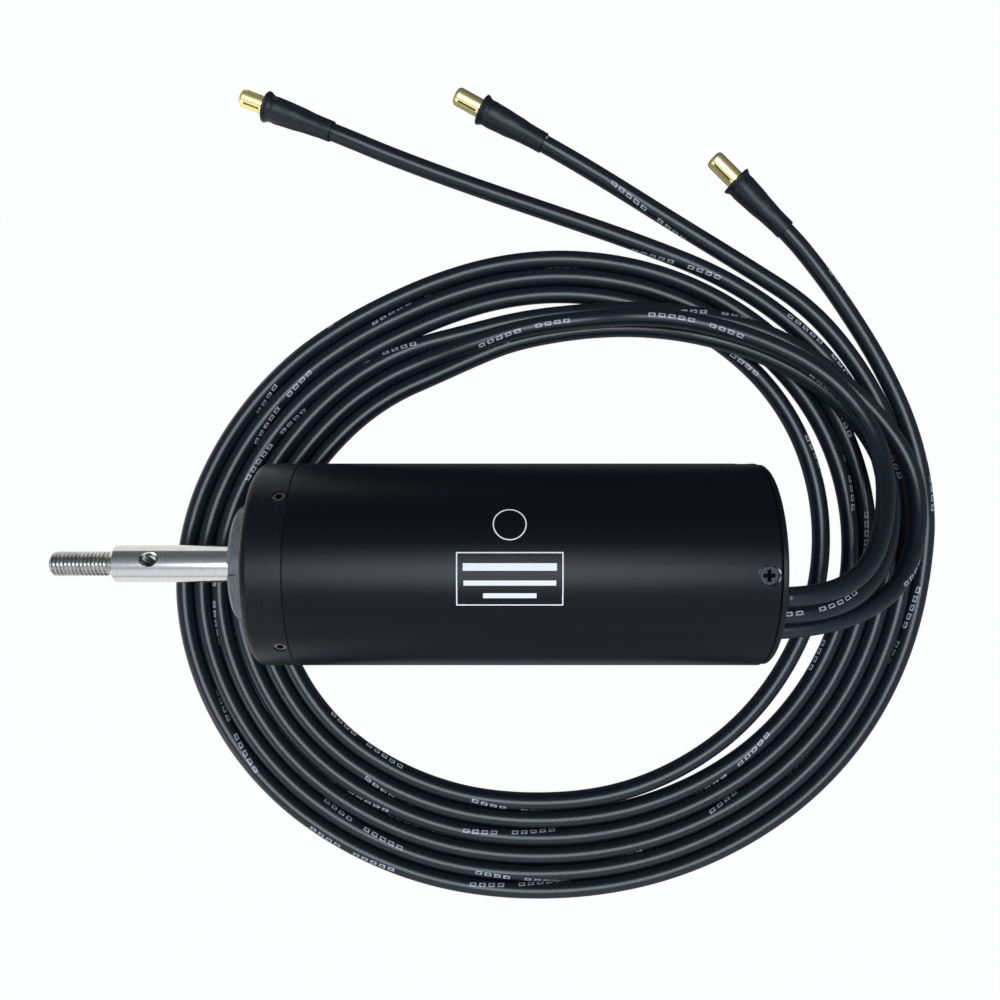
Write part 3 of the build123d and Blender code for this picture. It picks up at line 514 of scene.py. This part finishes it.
def rounded(profile: list[tuple[float, float]], step: float = 0.5) -> tuple[np.ndarray, np.ndarray]:
    """Divide a profile's straight runs into short ones, and keep its corners.

    Args:
        profile: (station, radius) points.
        step: the longest run that is left.

    Returns:
        The stations and the radii.
    """
    points = np.array(profile, float)
    runs = np.linalg.norm(np.diff(points, axis=0), axis=1)
    length = np.concatenate([[0], np.cumsum(runs)])
    extra = np.arange(0, length[-1], step)
    where = np.unique(np.concatenate([length, extra]))
    return np.interp(where, length, points[:, 0]), np.interp(where, length, points[:, 1])


@dataclass
class OutputShaft:
    """The shaft with its threaded tip, neck, chamfers and cross hole, and its hidden end in the rear bearing."""

    tip_x: float = -114.65
    radius: float = 6.0
    thread_radius: float = 4.0
    thread_length: float = 19.0
    pitch: float = 1.25
    thread_crest: float = 0.125
    thread_root: float = 0.25
    thread_depth: float = 0.613
    thread_chamfer: float = 0.9
    thread_run_out: float = 1.4
    neck_radius: float = 3.2
    neck_length: float = 1.0
    shoulder: float = 1.0
    rear_x: float = 100.75
    journal_radius: float = 5.0
    journal_length: float = 9.5
    hole_radius: float = 2.1
    mouth_radius: float = 3.0
    hole_from_shoulder: float = 12.8
    hole_turn: float = 18.0
    relief_x: float = -53.75
    relief_width: float = 1.5
    relief_depth: float = 0.4
    clip_x: float = -36.75
    clip_width: float = 1.0
    clip_depth: float = 0.5
    sharp_degrees: float = 32.0

    def thread(self) -> bpy.types.Object:
        """Make the threaded tip.

        The radius falls from the crest to the root with the phase of a helix, station / pitch - angle / turn.
        Crest, root and depth are shares of the pitch, and the rest of it is two straight flanks. A cone at the
        tip and a run-out at the neck cut it off.

        Returns:
            The threaded tip.
        """
        columns = 72
        station = np.linspace(0, self.thread_length, 230)[:, None]
        turn = np.linspace(0, 1, columns, endpoint=False)[None, :]
        phase = (station / self.pitch - turn) % 1.0
        flanks = 1 - self.thread_crest - self.thread_root
        fall = np.clip((np.abs(phase - 0.5) * 2 - self.thread_crest) / flanks, 0, 1)
        radius = self.thread_radius - self.thread_depth * self.pitch * fall
        cone = self.thread_radius - self.thread_chamfer + station
        run_out = self.neck_radius + np.maximum(self.thread_length - station, 0) * self.thread_run_out
        radius = np.minimum(np.minimum(radius, cone), run_out)
        line = Line((self.tip_x, 0, CASING_R))
        rows = line.sweep(np.broadcast_to(station, radius.shape), radius, columns)
        return make_piece("shaft_thread", rows, THREAD)

    def body(self) -> bpy.types.Object:
        """Make the plain shaft from its neck to its rear end, with the cross hole cut through it.

        It is a profile carried round the shaft's line. An edge that turns more than sharp_degrees stays sharp.

        Returns:
            The shaft.
        """
        neck = self.thread_length
        shoulder = neck + self.neck_length
        journal = self.rear_x - self.tip_x
        end = journal + self.journal_length
        profile = [
            (neck - 0.4, self.neck_radius),
            (shoulder, self.neck_radius),
            (shoulder, self.radius - self.shoulder),
            (shoulder + self.shoulder, self.radius),
            *self.groove(self.relief_x, self.relief_width, self.relief_depth),
            *self.groove(self.clip_x, self.clip_width, self.clip_depth),
            (journal, self.radius),
            (journal, self.journal_radius),
            (end, self.journal_radius),
        ]
        line = Line((self.tip_x, 0, CASING_R))
        piece = make_piece("output_shaft_body", line.sweep(*rounded(profile, 2.0), 96), STAINLESS)
        cutter = self.hole_cutter(shoulder + self.hole_from_shoulder)
        cut = piece.modifiers.new("cross hole", "BOOLEAN")
        cut.operation = "DIFFERENCE"
        cut.solver = "EXACT"
        cut.object = cutter
        bpy.context.view_layer.update()
        finished = bpy.data.meshes.new_from_object(piece.evaluated_get(bpy.context.evaluated_depsgraph_get()))
        piece.modifiers.clear()
        piece.data = finished
        bpy.data.objects.remove(cutter)
        finished.shade_smooth()
        finished.set_sharp_from_angle(angle=math.radians(self.sharp_degrees))
        return piece

    def groove(self, x: float, width: float, depth: float) -> list[tuple[float, float]]:
        """The corners of a square groove in the shaft.

        Args:
            x: where it starts.
            width: its width.
            depth: its depth.

        Returns:
            Four (station, radius) points.
        """
        start, floor = x - self.tip_x, self.radius - depth
        return [(start, self.radius), (start, floor), (start + width, floor), (start + width, self.radius)]

    def hole_cutter(self, station: float) -> bpy.types.Object:
        """Make the solid that the cross hole is cut with: a cylinder that widens to a cone at each mouth.

        A point is middle + height * up + radius * (cos a * along + sin a * side), for each angle a.

        Args:
            station: the hole's distance behind the tip.

        Returns:
            The cutter.
        """
        depth = self.mouth_radius - self.hole_radius
        reach = self.radius
        heights = np.array([-reach - depth, -reach, -reach + depth, reach - depth, reach, reach + depth])
        radii = np.array([2 * depth, depth, 0, 0, depth, 2 * depth]) + self.hole_radius
        angle = np.linspace(0, 2 * math.pi, 48, endpoint=False)
        tilt = math.radians(self.hole_turn)
        up = np.array([0.0, math.sin(tilt), math.cos(tilt)])
        side = np.array([0.0, math.cos(tilt), -math.sin(tilt)])
        along = np.array([-1.0, 0.0, 0.0])
        ring = np.cos(angle)[:, None] * along + np.sin(angle)[:, None] * side
        middle = np.array([self.tip_x + station, 0, CASING_R])
        rows = middle + heights[:, None, None] * up + radii[:, None, None] * ring[None]
        return make_piece("hole_cutter", rows[::-1], STAINLESS)

    def build(self) -> None:
        """Make the shaft's pieces and put them in the rotor."""
        thread, body = self.thread(), self.body()
        for piece in (thread, body):
            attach(piece, "rotor")
            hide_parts("shaft")
            LOG.info("made %s", piece.name)


@dataclass
class CasingPrint:
    """A plain ring and a plain ruled panel printed on top of the casing."""

    middle_x: float = 33.2
    middle_y: float = -2.4
    length: float = 31.3
    height: float = 15.9
    line: float = 0.36
    ring_y: float = 14.0
    ring_radius: float = 5.0
    bars: tuple[tuple[float, float, float], ...] = ((3.6, 27.4, 2.2), (-1.1, 27.0, 1.5), (-4.9, 15.6, 1.5))
    lift: float = 0.025

    def strip(self, name: str, low: tuple[float, float], high: tuple[float, float]) -> bpy.types.Object:
        """Make a printed rectangle that hugs the casing.

        The row follows the casing's round: a distance d across is the angle d / radius from straight up.

        Args:
            name: the piece's name.
            low: its lowest x and distance across.
            high: its highest x and distance across.

        Returns:
            The piece.
        """
        radius = CASING_R + self.lift
        across = np.linspace(low[1], high[1], max(2, round((high[1] - low[1]) / 0.5) + 1))[:, None]
        along = np.linspace(low[0], high[0], 2)[None, :]
        angle = across / radius
        y, z = radius * np.sin(angle), CASING_R + radius * np.cos(angle)
        rows = np.stack(np.broadcast_arrays(along, y, z), -1)
        return make_piece(name, rows, INK, around=False)

    def ring(self) -> bpy.types.Object:
        """Make the printed ring: two circles on the casing's round, a line's width apart.

        Returns:
            The piece.
        """
        radius = CASING_R + self.lift
        angle = np.linspace(0, 2 * math.pi, 73)[None, :]
        reach = np.array([self.ring_radius - self.line, self.ring_radius])[:, None]
        across = (self.ring_y + reach * np.sin(angle)) / radius
        along = np.broadcast_to(self.middle_x + reach * np.cos(angle), across.shape)
        rows = np.stack([along, radius * np.sin(across), CASING_R + radius * np.cos(across)], -1)
        return make_piece("casing_print_ring", rows[::-1], INK, around=False)

    def build(self) -> None:
        """Make every printed mark."""
        half, rise, line = self.length / 2, self.height / 2, self.line
        x, y = self.middle_x, self.middle_y
        marks = {
            "casing_print_top": ((x - half, y + rise - line), (x + half, y + rise)),
            "casing_print_foot": ((x - half, y - rise), (x + half, y - rise + line)),
            "casing_print_front": ((x - half, y - rise), (x - half + line, y + rise)),
            "casing_print_rear": ((x + half - line, y - rise), (x + half, y + rise)),
        }
        for number, (over, length, tall) in enumerate(self.bars):
            low, high = y + over - tall / 2, y + over + tall / 2
            marks[f"casing_print_bar_{number}"] = ((x - length / 2, low), (x + length / 2, high))
        pieces = [self.strip(name, low, high) for name, (low, high) in marks.items()] + [self.ring()]
        for piece in pieces:
            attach(piece, "housing")
            LOG.info("made %s", piece.name)


class Lay(Enum):
    """A cable's place in the coiled ribbon: its distance outwards, in pitches."""

    INNER = -1
    MIDDLE = 0
    OUTER = 1


@dataclass(frozen=True)
class Route:
    """One cable's way from its grommet, through the air, round the coil and to its plug.

    Attributes:
        name: the cable's name in its CAD nodes.
        lay: its place in the ribbon.
        leave: where it leaves its grommet.
        lead: the bends before the coil.
        tail: the bends after it.
        sleeve: where its shrunk sleeve starts.
        heading: the plug's direction from +X, in degrees.
        length: the cable's real length in metres.
        printed: how much of the print's length lies before the grommet, in decimetres.
    """

    name: str
    lay: Lay
    leave: tuple[float, float, float]
    lead: tuple[tuple[float, float, float], ...]
    tail: tuple[tuple[float, float, float], ...]
    # length: the cable's real length in metres; it is not used.
    sleeve: tuple[float, float]
    heading: float
    length: float
    printed: float


ROUTES = (
    Route(
        "upper",
        Lay.MIDDLE,
        (116.25, -8.9, 52.1),
        (
            (130.0, -8.6, 51.6), (146.0, -1.5, 43.5), (157.0, 14.5, 29.5), (160.0, 34.0, 20.8),
            (154.0, 51.0, 16.6), (140.0, 65.5, 15.4), (119.5, 75.8, 15.2), (96.0, 82.3, 15.2),
            (78.0, 84.0, 14.2), (60.0, 83.6, 9.0), (40.0, 81.3, 8.6), (20.6, 75.6, 6.3),
        ),
        (
            (175.6, 19.8, 3.1), (170.2, 44.2, 3.1), (158.7, 67.2, 3.1), (141.0, 88.8, 3.1),
            (118.0, 103.5, 3.1), (91.0, 120.0, 3.1), (66.0, 135.4, 3.9),
        ),
        (45.8, 146.5),
        151.2,
        1.6,
        0.36,
    ),
    Route(
        "middle",
        Lay.INNER,
        (116.25, -15.2, 42.9),
        (
            (130.0, -15.1, 42.5), (148.0, -9.5, 34.5), (161.0, 3.5, 21.5), (166.0, 22.0, 13.0),
            (161.5, 40.0, 9.9), (147.0, 57.5, 9.4), (126.0, 70.0, 9.6), (103.0, 77.7, 9.6),
            (80.7, 81.7, 4.8), (58.3, 81.1, 3.1), (35.7, 77.0, 3.1), (21.1, 71.1, 3.1),
        ),
        (
            (168.9, 21.4, 3.1), (163.2, 44.4, 3.1), (150.9, 66.6, 3.1), (132.7, 85.0, 3.1),
            (109.0, 100.4, 3.1), (80.0, 111.9, 3.1), (52.0, 121.5, 3.1), (20.0, 132.3, 3.1),
            (-8.0, 142.3, 4.1),
        ),
        (-28.9, 150.6),
        159.1,
        1.6,
        2.44,
    ),
    Route(
        "lower",
        Lay.OUTER,
        (116.25, -21.5, 33.7),
        (
            (131.0, -20.9, 33.6), (150.0, -16.5, 29.0), (166.0, -7.5, 21.0), (175.0, 10.0, 13.0),
            (175.0, 30.0, 9.9), (165.0, 47.5, 9.4), (147.0, 65.0, 9.4), (126.0, 78.5, 9.4),
            (103.0, 84.8, 9.6), (80.0, 87.1, 8.8), (60.0, 87.3, 3.6), (38.0, 84.9, 3.1),
            (16.5, 79.4, 3.1),
        ),
        (
            (182.2, 18.2, 3.1), (176.9, 44.4, 3.1), (165.7, 69.2, 3.1), (151.5, 91.5, 3.3),
            (141.0, 105.0, 4.3),
        ),
        (131.1, 115.8),
        135.0,
        1.62,
        4.28,
    ),
)


@dataclass
class PhaseCables:
    """The three cables, coiled side by side on the floor round the motor.

    Attributes:
        radius: a cable's radius.
        centre: the coil's middle on the floor.
        start_degrees: the direction from the middle in which the coil starts.
        step_degrees: the turn from one known radius to the next.
        pitch: the distance from one cable to the next in the ribbon.
        radii: the ribbon's known distances from the middle.
        loose_at: the direction in which the inner cable strays most.
        loose_spread: how far round to each side it strays.
        loose_gap: how far inwards it strays.
        columns: how many points go round a cable.
    """

    radius: float = 3.1
    centre: tuple[float, float] = (47.0, -5.0)
    start_degrees: float = 120.0
    step_degrees: float = 30.0
    pitch: float = 6.25
    radii: tuple[float, ...] = (
        86.6, 95.3, 104.2, 101.0, 92.7, 87.8, 90.9, 99.4, 107.9, 111.0, 108.3,
        105.2, 104.8, 114.1, 122.9, 120.0, 111.7, 106.7, 109.8, 118.3, 127.2,
    )
    loose_at: float = 352.0
    loose_spread: float = 75.0
    loose_gap: float = 4.8
    columns: int = 20

    def coil(self, lay: Lay) -> np.ndarray:
        """The coil's points for one cable, every 10 degrees.

        The ribbon's radius runs through the known ones along cubic curves whose slope at each is half the
        difference of its neighbours. The inner cable strays inwards by a raised cosine on its first turn.

        Args:
            lay: the cable's place in the ribbon.

        Returns:
            The points, as count by 3.
        """
        known = np.array(self.radii)
        padded = np.concatenate([[2 * known[0] - known[1]], known, [2 * known[-1] - known[-2]]])
        count = 3 * (len(known) - 1)
        place = np.arange(count + 1) / 3
        before = np.minimum(place.astype(int), len(known) - 2)
        share = place - before
        a, b, c, d = (padded[before + k] for k in range(4))
        radius = 0.5 * (
            2 * b
            + (c - a) * share
            + (2 * a - 5 * b + 4 * c - d) * share**2
            + (3 * b - a - 3 * c + d) * share**3
        )
        azimuth = self.start_degrees + self.step_degrees * place
        radius = radius + lay.value * self.pitch
        if lay is Lay.INNER:
            off = np.clip(np.abs(azimuth - self.loose_at) / self.loose_spread, 0, 1)
            radius = radius - self.loose_gap * (1 + np.cos(math.pi * off)) / 2
        angle = np.radians(azimuth)
        x = self.centre[0] + radius * np.cos(angle)
        y = self.centre[1] + radius * np.sin(angle)
        return np.stack([x, y, np.full_like(x, self.radius)], -1)

    def points(self, route: Route) -> np.ndarray:
        """A cable's control points, from its grommet to the cup of its plug.

        Args:
            route: the cable's route.

        Returns:
            The points, as count by 3.
        """
        turn = math.radians(route.heading)
        heading = np.array([math.cos(turn), math.sin(turn), 0.0])
        sleeve = np.array([*route.sleeve, PLUG_Z])
        ends = [sleeve - 3 * heading, sleeve + 12 * heading]
        return np.vstack([[route.leave], route.lead, self.coil(route.lay), route.tail, ends])

    def smooth_line(self, points: np.ndarray) -> np.ndarray:
        """The smooth line of a NURBS spline that has these control points.

        Args:
            points: the control points in millimetres.

        Returns:
            The line's points in millimetres.
        """
        curve = bpy.data.curves.new("cable_line", "CURVE")
        curve.dimensions = "3D"
        curve.resolution_u = 12
        spline = curve.splines.new("NURBS")
        spline.points.add(len(points) - 1)
        weighted = np.hstack([points * MM, np.ones((len(points), 1))])
        spline.points.foreach_set("co", weighted.reshape(-1))
        spline.order_u = 3
        spline.use_endpoint_u = True
        holder = bpy.data.objects.new("cable_line", curve)
        mesh = bpy.data.meshes.new_from_object(holder)
        flat = np.zeros(len(mesh.vertices) * 3)
        mesh.vertices.foreach_get("co", flat)
        bpy.data.objects.remove(holder)
        bpy.data.meshes.remove(mesh)
        return flat.reshape(-1, 3) / MM

    def tube(self, name: str, line: np.ndarray, printed: float) -> bpy.types.Object:
        """Carry a circle along a line.

        A point is line + radius * (cos a * side + sin a * up), where side is level and square to the line, and
        up is square to both, so that a quarter of the way round is the top.

        Args:
            name: the piece's name.
            line: the cable's middle line.
            printed: where its UV map starts, in decimetres.

        Returns:
            The cable.
        """
        run = np.gradient(line, axis=0)
        run /= np.linalg.norm(run, axis=1, keepdims=True)
        side = np.cross(run, [0.0, 0.0, 1.0])
        side /= np.linalg.norm(side, axis=1, keepdims=True)
        up = np.cross(side, run)
        angle = np.linspace(0, 2 * math.pi, self.columns, endpoint=False)
        ring = np.cos(angle)[None, :, None] * side[:, None] + np.sin(angle)[None, :, None] * up[:, None]
        rows = line[:, None] + self.radius * ring
        step = np.linalg.norm(np.diff(line, axis=0), axis=1)
        length = np.concatenate([[0], np.cumsum(step)]) / DECIMETRE + printed
        along = np.broadcast_to(length[:, None], rows.shape[:2])
        around = np.broadcast_to(np.arange(self.columns) / self.columns, rows.shape[:2])
        return make_piece(name, rows, SILICONE, spread=(along, around))

    def build(self) -> None:
        """Make the cables."""
        for route in ROUTES:
            line = self.smooth_line(self.points(route))
            cable = self.tube(f"{route.name}_cable", line, route.printed)
            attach(cable, "housing")
            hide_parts(f"{route.name}_cable_lead", f"{route.name}_cable_tail", "cable_coil")
            LOG.info("made %s", cable.name)


@dataclass
class ShrunkSleeves:
    """The shrunk tubes over the joints of cables and plugs, with shallow wrinkles and flared lips.

    Attributes:
        profile: (station, radius) points of a smooth sleeve, from its cable end to the floor of its mouth.
        wrinkle: the wrinkles' depth in millimetres, half-way along.
    """

    profile: tuple[tuple[float, float], ...] = (
        (0.0, 3.2), (0.0, 3.6), (0.5, 3.68), (4.0, 3.74), (8.0, 3.95), (11.0, 4.2), (14.0, 4.42), (18.0, 4.6),
        (21.0, 4.72), (22.6, 4.6), (23.4, 4.86), (24.0, 5.26), (24.4, 5.42), (24.8, 5.42), (25.0, 5.2),
        (24.9, 4.7), (24.6, 4.1),
    )
    wrinkle: float = 0.24

    def surface(self, route: Route) -> np.ndarray:
        """The sleeve's points.

        The radius of a smooth sleeve is lowered by three waves that run round it and slowly turn along it. They
        swell from both ends to the middle, and each sleeve has its own phase.

        Args:
            route: the route of the sleeve's cable.

        Returns:
            The points, as rows by columns by 3.
        """
        columns = 72
        station, radius = rounded(list(self.profile), 0.35)
        along = station[:, None]
        turn = np.linspace(0, 2 * math.pi, columns, endpoint=False)[None, :]
        phase = math.radians(route.heading) * 3
        waves = (
            0.5 * np.cos(2 * turn + 0.11 * along + phase)
            + 0.3 * np.cos(5 * turn - 0.23 * along + 2 * phase)
            + 0.2 * np.cos(3 * turn + 0.9 * along - phase)
        )
        swell = self.wrinkle * (0.35 + np.sin(math.pi * np.clip(along / 24, 0, 1)))
        outside = radius[:, None] > 3.3
        lowered = radius[:, None] - np.where(outside, swell * (1 + waves) / 2, 0)
        line = Line((*route.sleeve, PLUG_Z), route.heading)
        return line.sweep(np.broadcast_to(along, lowered.shape), lowered, columns)

    def build(self) -> None:
        """Make the sleeves."""
        for route in ROUTES:
            sleeve = make_piece(f"{route.name}_shrunk_sleeve", self.surface(route), SHRINK)
            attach(sleeve, "housing")
            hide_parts(f"{route.name}_heat_shrink")
            LOG.info("made %s", sleeve.name)


@dataclass
class RimWearAndHighlights:
    """The rubbed edges of the countersinks for the rear screws: light rings that are partly wear and partly a
    painted highlight on the rims.
    """

    x: float = 108.85
    count: int = 4
    roll: float = -2.5
    radii: tuple[float, float] = (3.02, 3.46)
    sink_radius: float = 3.5
    lift: float = 0.02

    def ring(self, turn: float) -> np.ndarray:
        """The points of one edge, drawn on its cone.

        The cone rises by the same amount as its radius grows, up to the casing's round at the sink's radius.

        Args:
            turn: the screw's direction from straight up, in degrees.

        Returns:
            The points, as rows by columns by 3.
        """
        angle = np.linspace(0, 2 * math.pi, 65)[None, :]
        radius = np.array(self.radii)[:, None]
        height = CASING_R - self.sink_radius + radius + self.lift
        along, across = radius * np.cos(angle), radius * np.sin(angle)
        height = np.minimum(height, np.sqrt((CASING_R + self.lift) ** 2 - across**2))
        tilt = math.radians(turn)
        y = across * math.cos(tilt) + height * math.sin(tilt)
        z = CASING_R - across * math.sin(tilt) + height * math.cos(tilt)
        return np.stack([self.x + along, y, z], -1)

    def build(self) -> None:
        """Make the edges."""
        for number in range(self.count):
            rows = self.ring(self.roll + 360 * number / self.count)
            # Light rings: rubbed wear and a painted highlight on the countersinks' rims.
            edge = make_piece(f"rubbed_edge_{number}", rows[::-1], RIM_WEAR_AND_HIGHLIGHT, around=False)
            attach(edge, "housing")
            LOG.info("made %s", edge.name)


BEARING_FINISH = {"outer_race": BEARING, "inner_race": BEARING, "balls": BEARING, "cage": NYLON}
CABLE_FINISH = {"cable_lead": SILICONE, "cable_tail": SILICONE, "heat_shrink": SHRINK, "bullet_plug": GOLD}
NODE_FINISH: dict[str, Finish] = {
    "casing_tube": ANODISED,
    "front_cap": TURNED_BAND,
    "rear_cap": TURNED_BLACK,
    "seal_carrier": TURNED_GREY,
    "front_cap_o_ring": RUBBER,
    "carrier_o_ring": RUBBER,
    "rear_cap_o_ring": RUBBER,
    "outer_shaft_seal": RUBBER,
    "inner_shaft_seal": RUBBER,
    "grub_screws": RUBBED_SCREW,
    "rear_screws": OXIDE,
    "cable_grommets": RUBBER,
    "phase_leads": SILICONE,
    "phase_terminals": TINNED,
    "terminal_ring": BOARD,
    "stator_core": LAMINATED,
    "end_insulators": NYLON,
    "windings": WINDING,
    "preload_spring": SCREW,
    "shaft": STAINLESS,
    "shaft_circlip": SCREW,
    "rotor_spacers": ANODISED,
    "rotor_core": LAMINATED,
    "magnets": MAGNET,
    "rotor_sleeve": SHRINK,
    "cable_coil": SILICONE,
    **{f"{end}_{part}": finish for end in ("front", "rear") for part, finish in BEARING_FINISH.items()},
    **{f"{route.name}_{part}": finish for route in ROUTES for part, finish in CABLE_FINISH.items()},
}


@dataclass
class FixedPieces:
    """The pieces that keep their own shape and only get a finish."""

    nodes: dict[str, bpy.types.Object]

    def build(self) -> None:
        """Give each node its finish."""
        for name, finish in NODE_FINISH.items():
            mesh = self.nodes[name].data
            mesh.materials.clear()
            mesh.materials.append(finish.build())
            LOG.info("finished %s", name)


@dataclass(frozen=True)
class Softbox:
    """A rectangular light turned to the motor.

    Attributes:
        name: the light's name.
        place: where its middle hangs, in millimetres.
        size: its width and height in millimetres.
        power: its power in watts.
    """

    name: str
    place: tuple[float, float, float]
    size: tuple[float, float]
    power: float


@dataclass
class Studio:
    """The pale floor, the soft lights and the camera, straight above the motor.

    Attributes:
        lens: the camera's focal length.
        place: where the camera stands.
        floor_half: half of the floor's side.
        card_end: where the floor under the shaft ends and the rest starts.
        dark_side: how bright the room is on the far side.
        pale_side: how bright it is on the near side.
        under: what is left of that below the floor's level.
        overhead: the strength of the overhead light.
        overhead_tilt: how far its light leans towards +Y, in degrees.
        overhead_spread: how wide it looks, in degrees.
        softboxes: the lights at the sides.
        aim: the point on the motor that the softboxes face.
    """

    lens: float = 34.39
    place: tuple[float, float, float] = (30.35, 20.66, 342.6)
    floor_half: float = 3000.0
    card_end: float = -52.0
    dark_side: float = 0.18
    pale_side: float = 0.78
    under: float = 0.6
    overhead: float = 2.2
    overhead_tilt: float = 4.5
    overhead_spread: float = 32.0
    softboxes: tuple[Softbox, ...] = (
        Softbox("near_light", (60.0, -1000.0, 750.0), (1600.0, 1000.0), 1.5),
        Softbox("front_light", (-950.0, -650.0, 420.0), (400.0, 600.0), 1.6),
    )
    aim: tuple[float, float, float] = (35.0, 0.0, 20.0)

    def floor(self) -> None:
        """Make the floor: two flat grids. Shiny pieces mirror only the one beneath the shaft."""
        half = self.floor_half
        for name, low, high in (("front_paper", -half, self.card_end), ("main_paper", self.card_end, half)):
            x, y = np.meshgrid(np.linspace(low, high, 3), np.linspace(-half, half, 3))
            sheet = make_piece(name, np.stack([x, y, np.zeros_like(x)], -1), PAPER, around=False)
            sheet.visible_glossy = name == "front_paper"

    def room(self) -> None:
        """Set the room: pale on the near side, dark on the far side, and darker below the floor's level."""
        world = bpy.data.worlds.new("studio_room")
        world.use_nodes = True
        tree = world.node_tree
        way = add_node(tree, "SeparateXYZ", links={0: add_node(tree, "TexCoord").outputs["Generated"]})
        settings = {"From Min": -0.7, "From Max": 0.7, "To Min": self.pale_side, "To Max": self.dark_side}
        side = add_node(tree, "MapRange", settings, {"Value": way.outputs[1]})
        settings = {"From Min": -0.3, "From Max": 0.1, "To Min": self.under, "To Max": 1.0}
        level = add_node(tree, "MapRange", settings, {"Value": way.outputs[2]})
        light = add_node(tree, "Math", {"operation": "MULTIPLY"}, {0: side.outputs[0], 1: level.outputs[0]})
        sky = tree.nodes["Background"]
        sky.inputs["Color"].default_value = linear("e2eaf6")
        tree.links.new(light.outputs[0], sky.inputs["Strength"])
        bpy.context.scene.world = world

    def shine(self) -> None:
        """Hang the overhead light and the softboxes."""
        sky = bpy.data.lights.new("overhead_light", "SUN")
        sky.energy = self.overhead
        sky.angle = math.radians(self.overhead_spread)
        sky.color = linear("ecf3ff")[:3]
        lamp = bpy.data.objects.new("overhead_light", sky)
        lamp.rotation_euler = (math.radians(self.overhead_tilt), 0.0, 0.0)
        bpy.context.scene.collection.objects.link(lamp)
        for box in self.softboxes:
            data = bpy.data.lights.new(box.name, "AREA")
            data.shape = "RECTANGLE"
            data.size, data.size_y = box.size[0] * MM, box.size[1] * MM
            data.energy = box.power
            lamp = bpy.data.objects.new(box.name, data)
            lamp.location = Vector(box.place) * MM
            way = Vector(self.aim) * MM - lamp.location
            lamp.rotation_euler = way.to_track_quat("-Z", "Y").to_euler()
            bpy.context.scene.collection.objects.link(lamp)
        bpy.context.scene.view_settings.view_transform = "Standard"

    def camera(self) -> None:
        """Set the camera up, looking straight down with +Y towards the top of the picture."""
        data = bpy.data.cameras.new("camera")
        data.lens = self.lens
        data.sensor_width = 36.0
        data.clip_start = 0.01
        camera = bpy.data.objects.new("camera", data)
        camera.location = Vector(self.place) * MM
        bpy.context.scene.collection.objects.link(camera)
        bpy.context.scene.camera = camera

    def build(self) -> None:
        """Set the studio up."""
        self.floor()
        self.room()
        self.shine()
        self.camera()


def main() -> None:
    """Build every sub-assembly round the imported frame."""
    logging.basicConfig(level=logging.INFO)
    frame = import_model()
    Studio().build()
    FixedPieces(frame["nodes"]).build()
    ShrunkSleeves().build()
    PhaseCables().build()
    RimWearAndHighlights().build()
    OutputShaft().build()
    CasingPrint().build()
    bpy.context.view_layer.update()


if __name__ == "__main__":
    main()
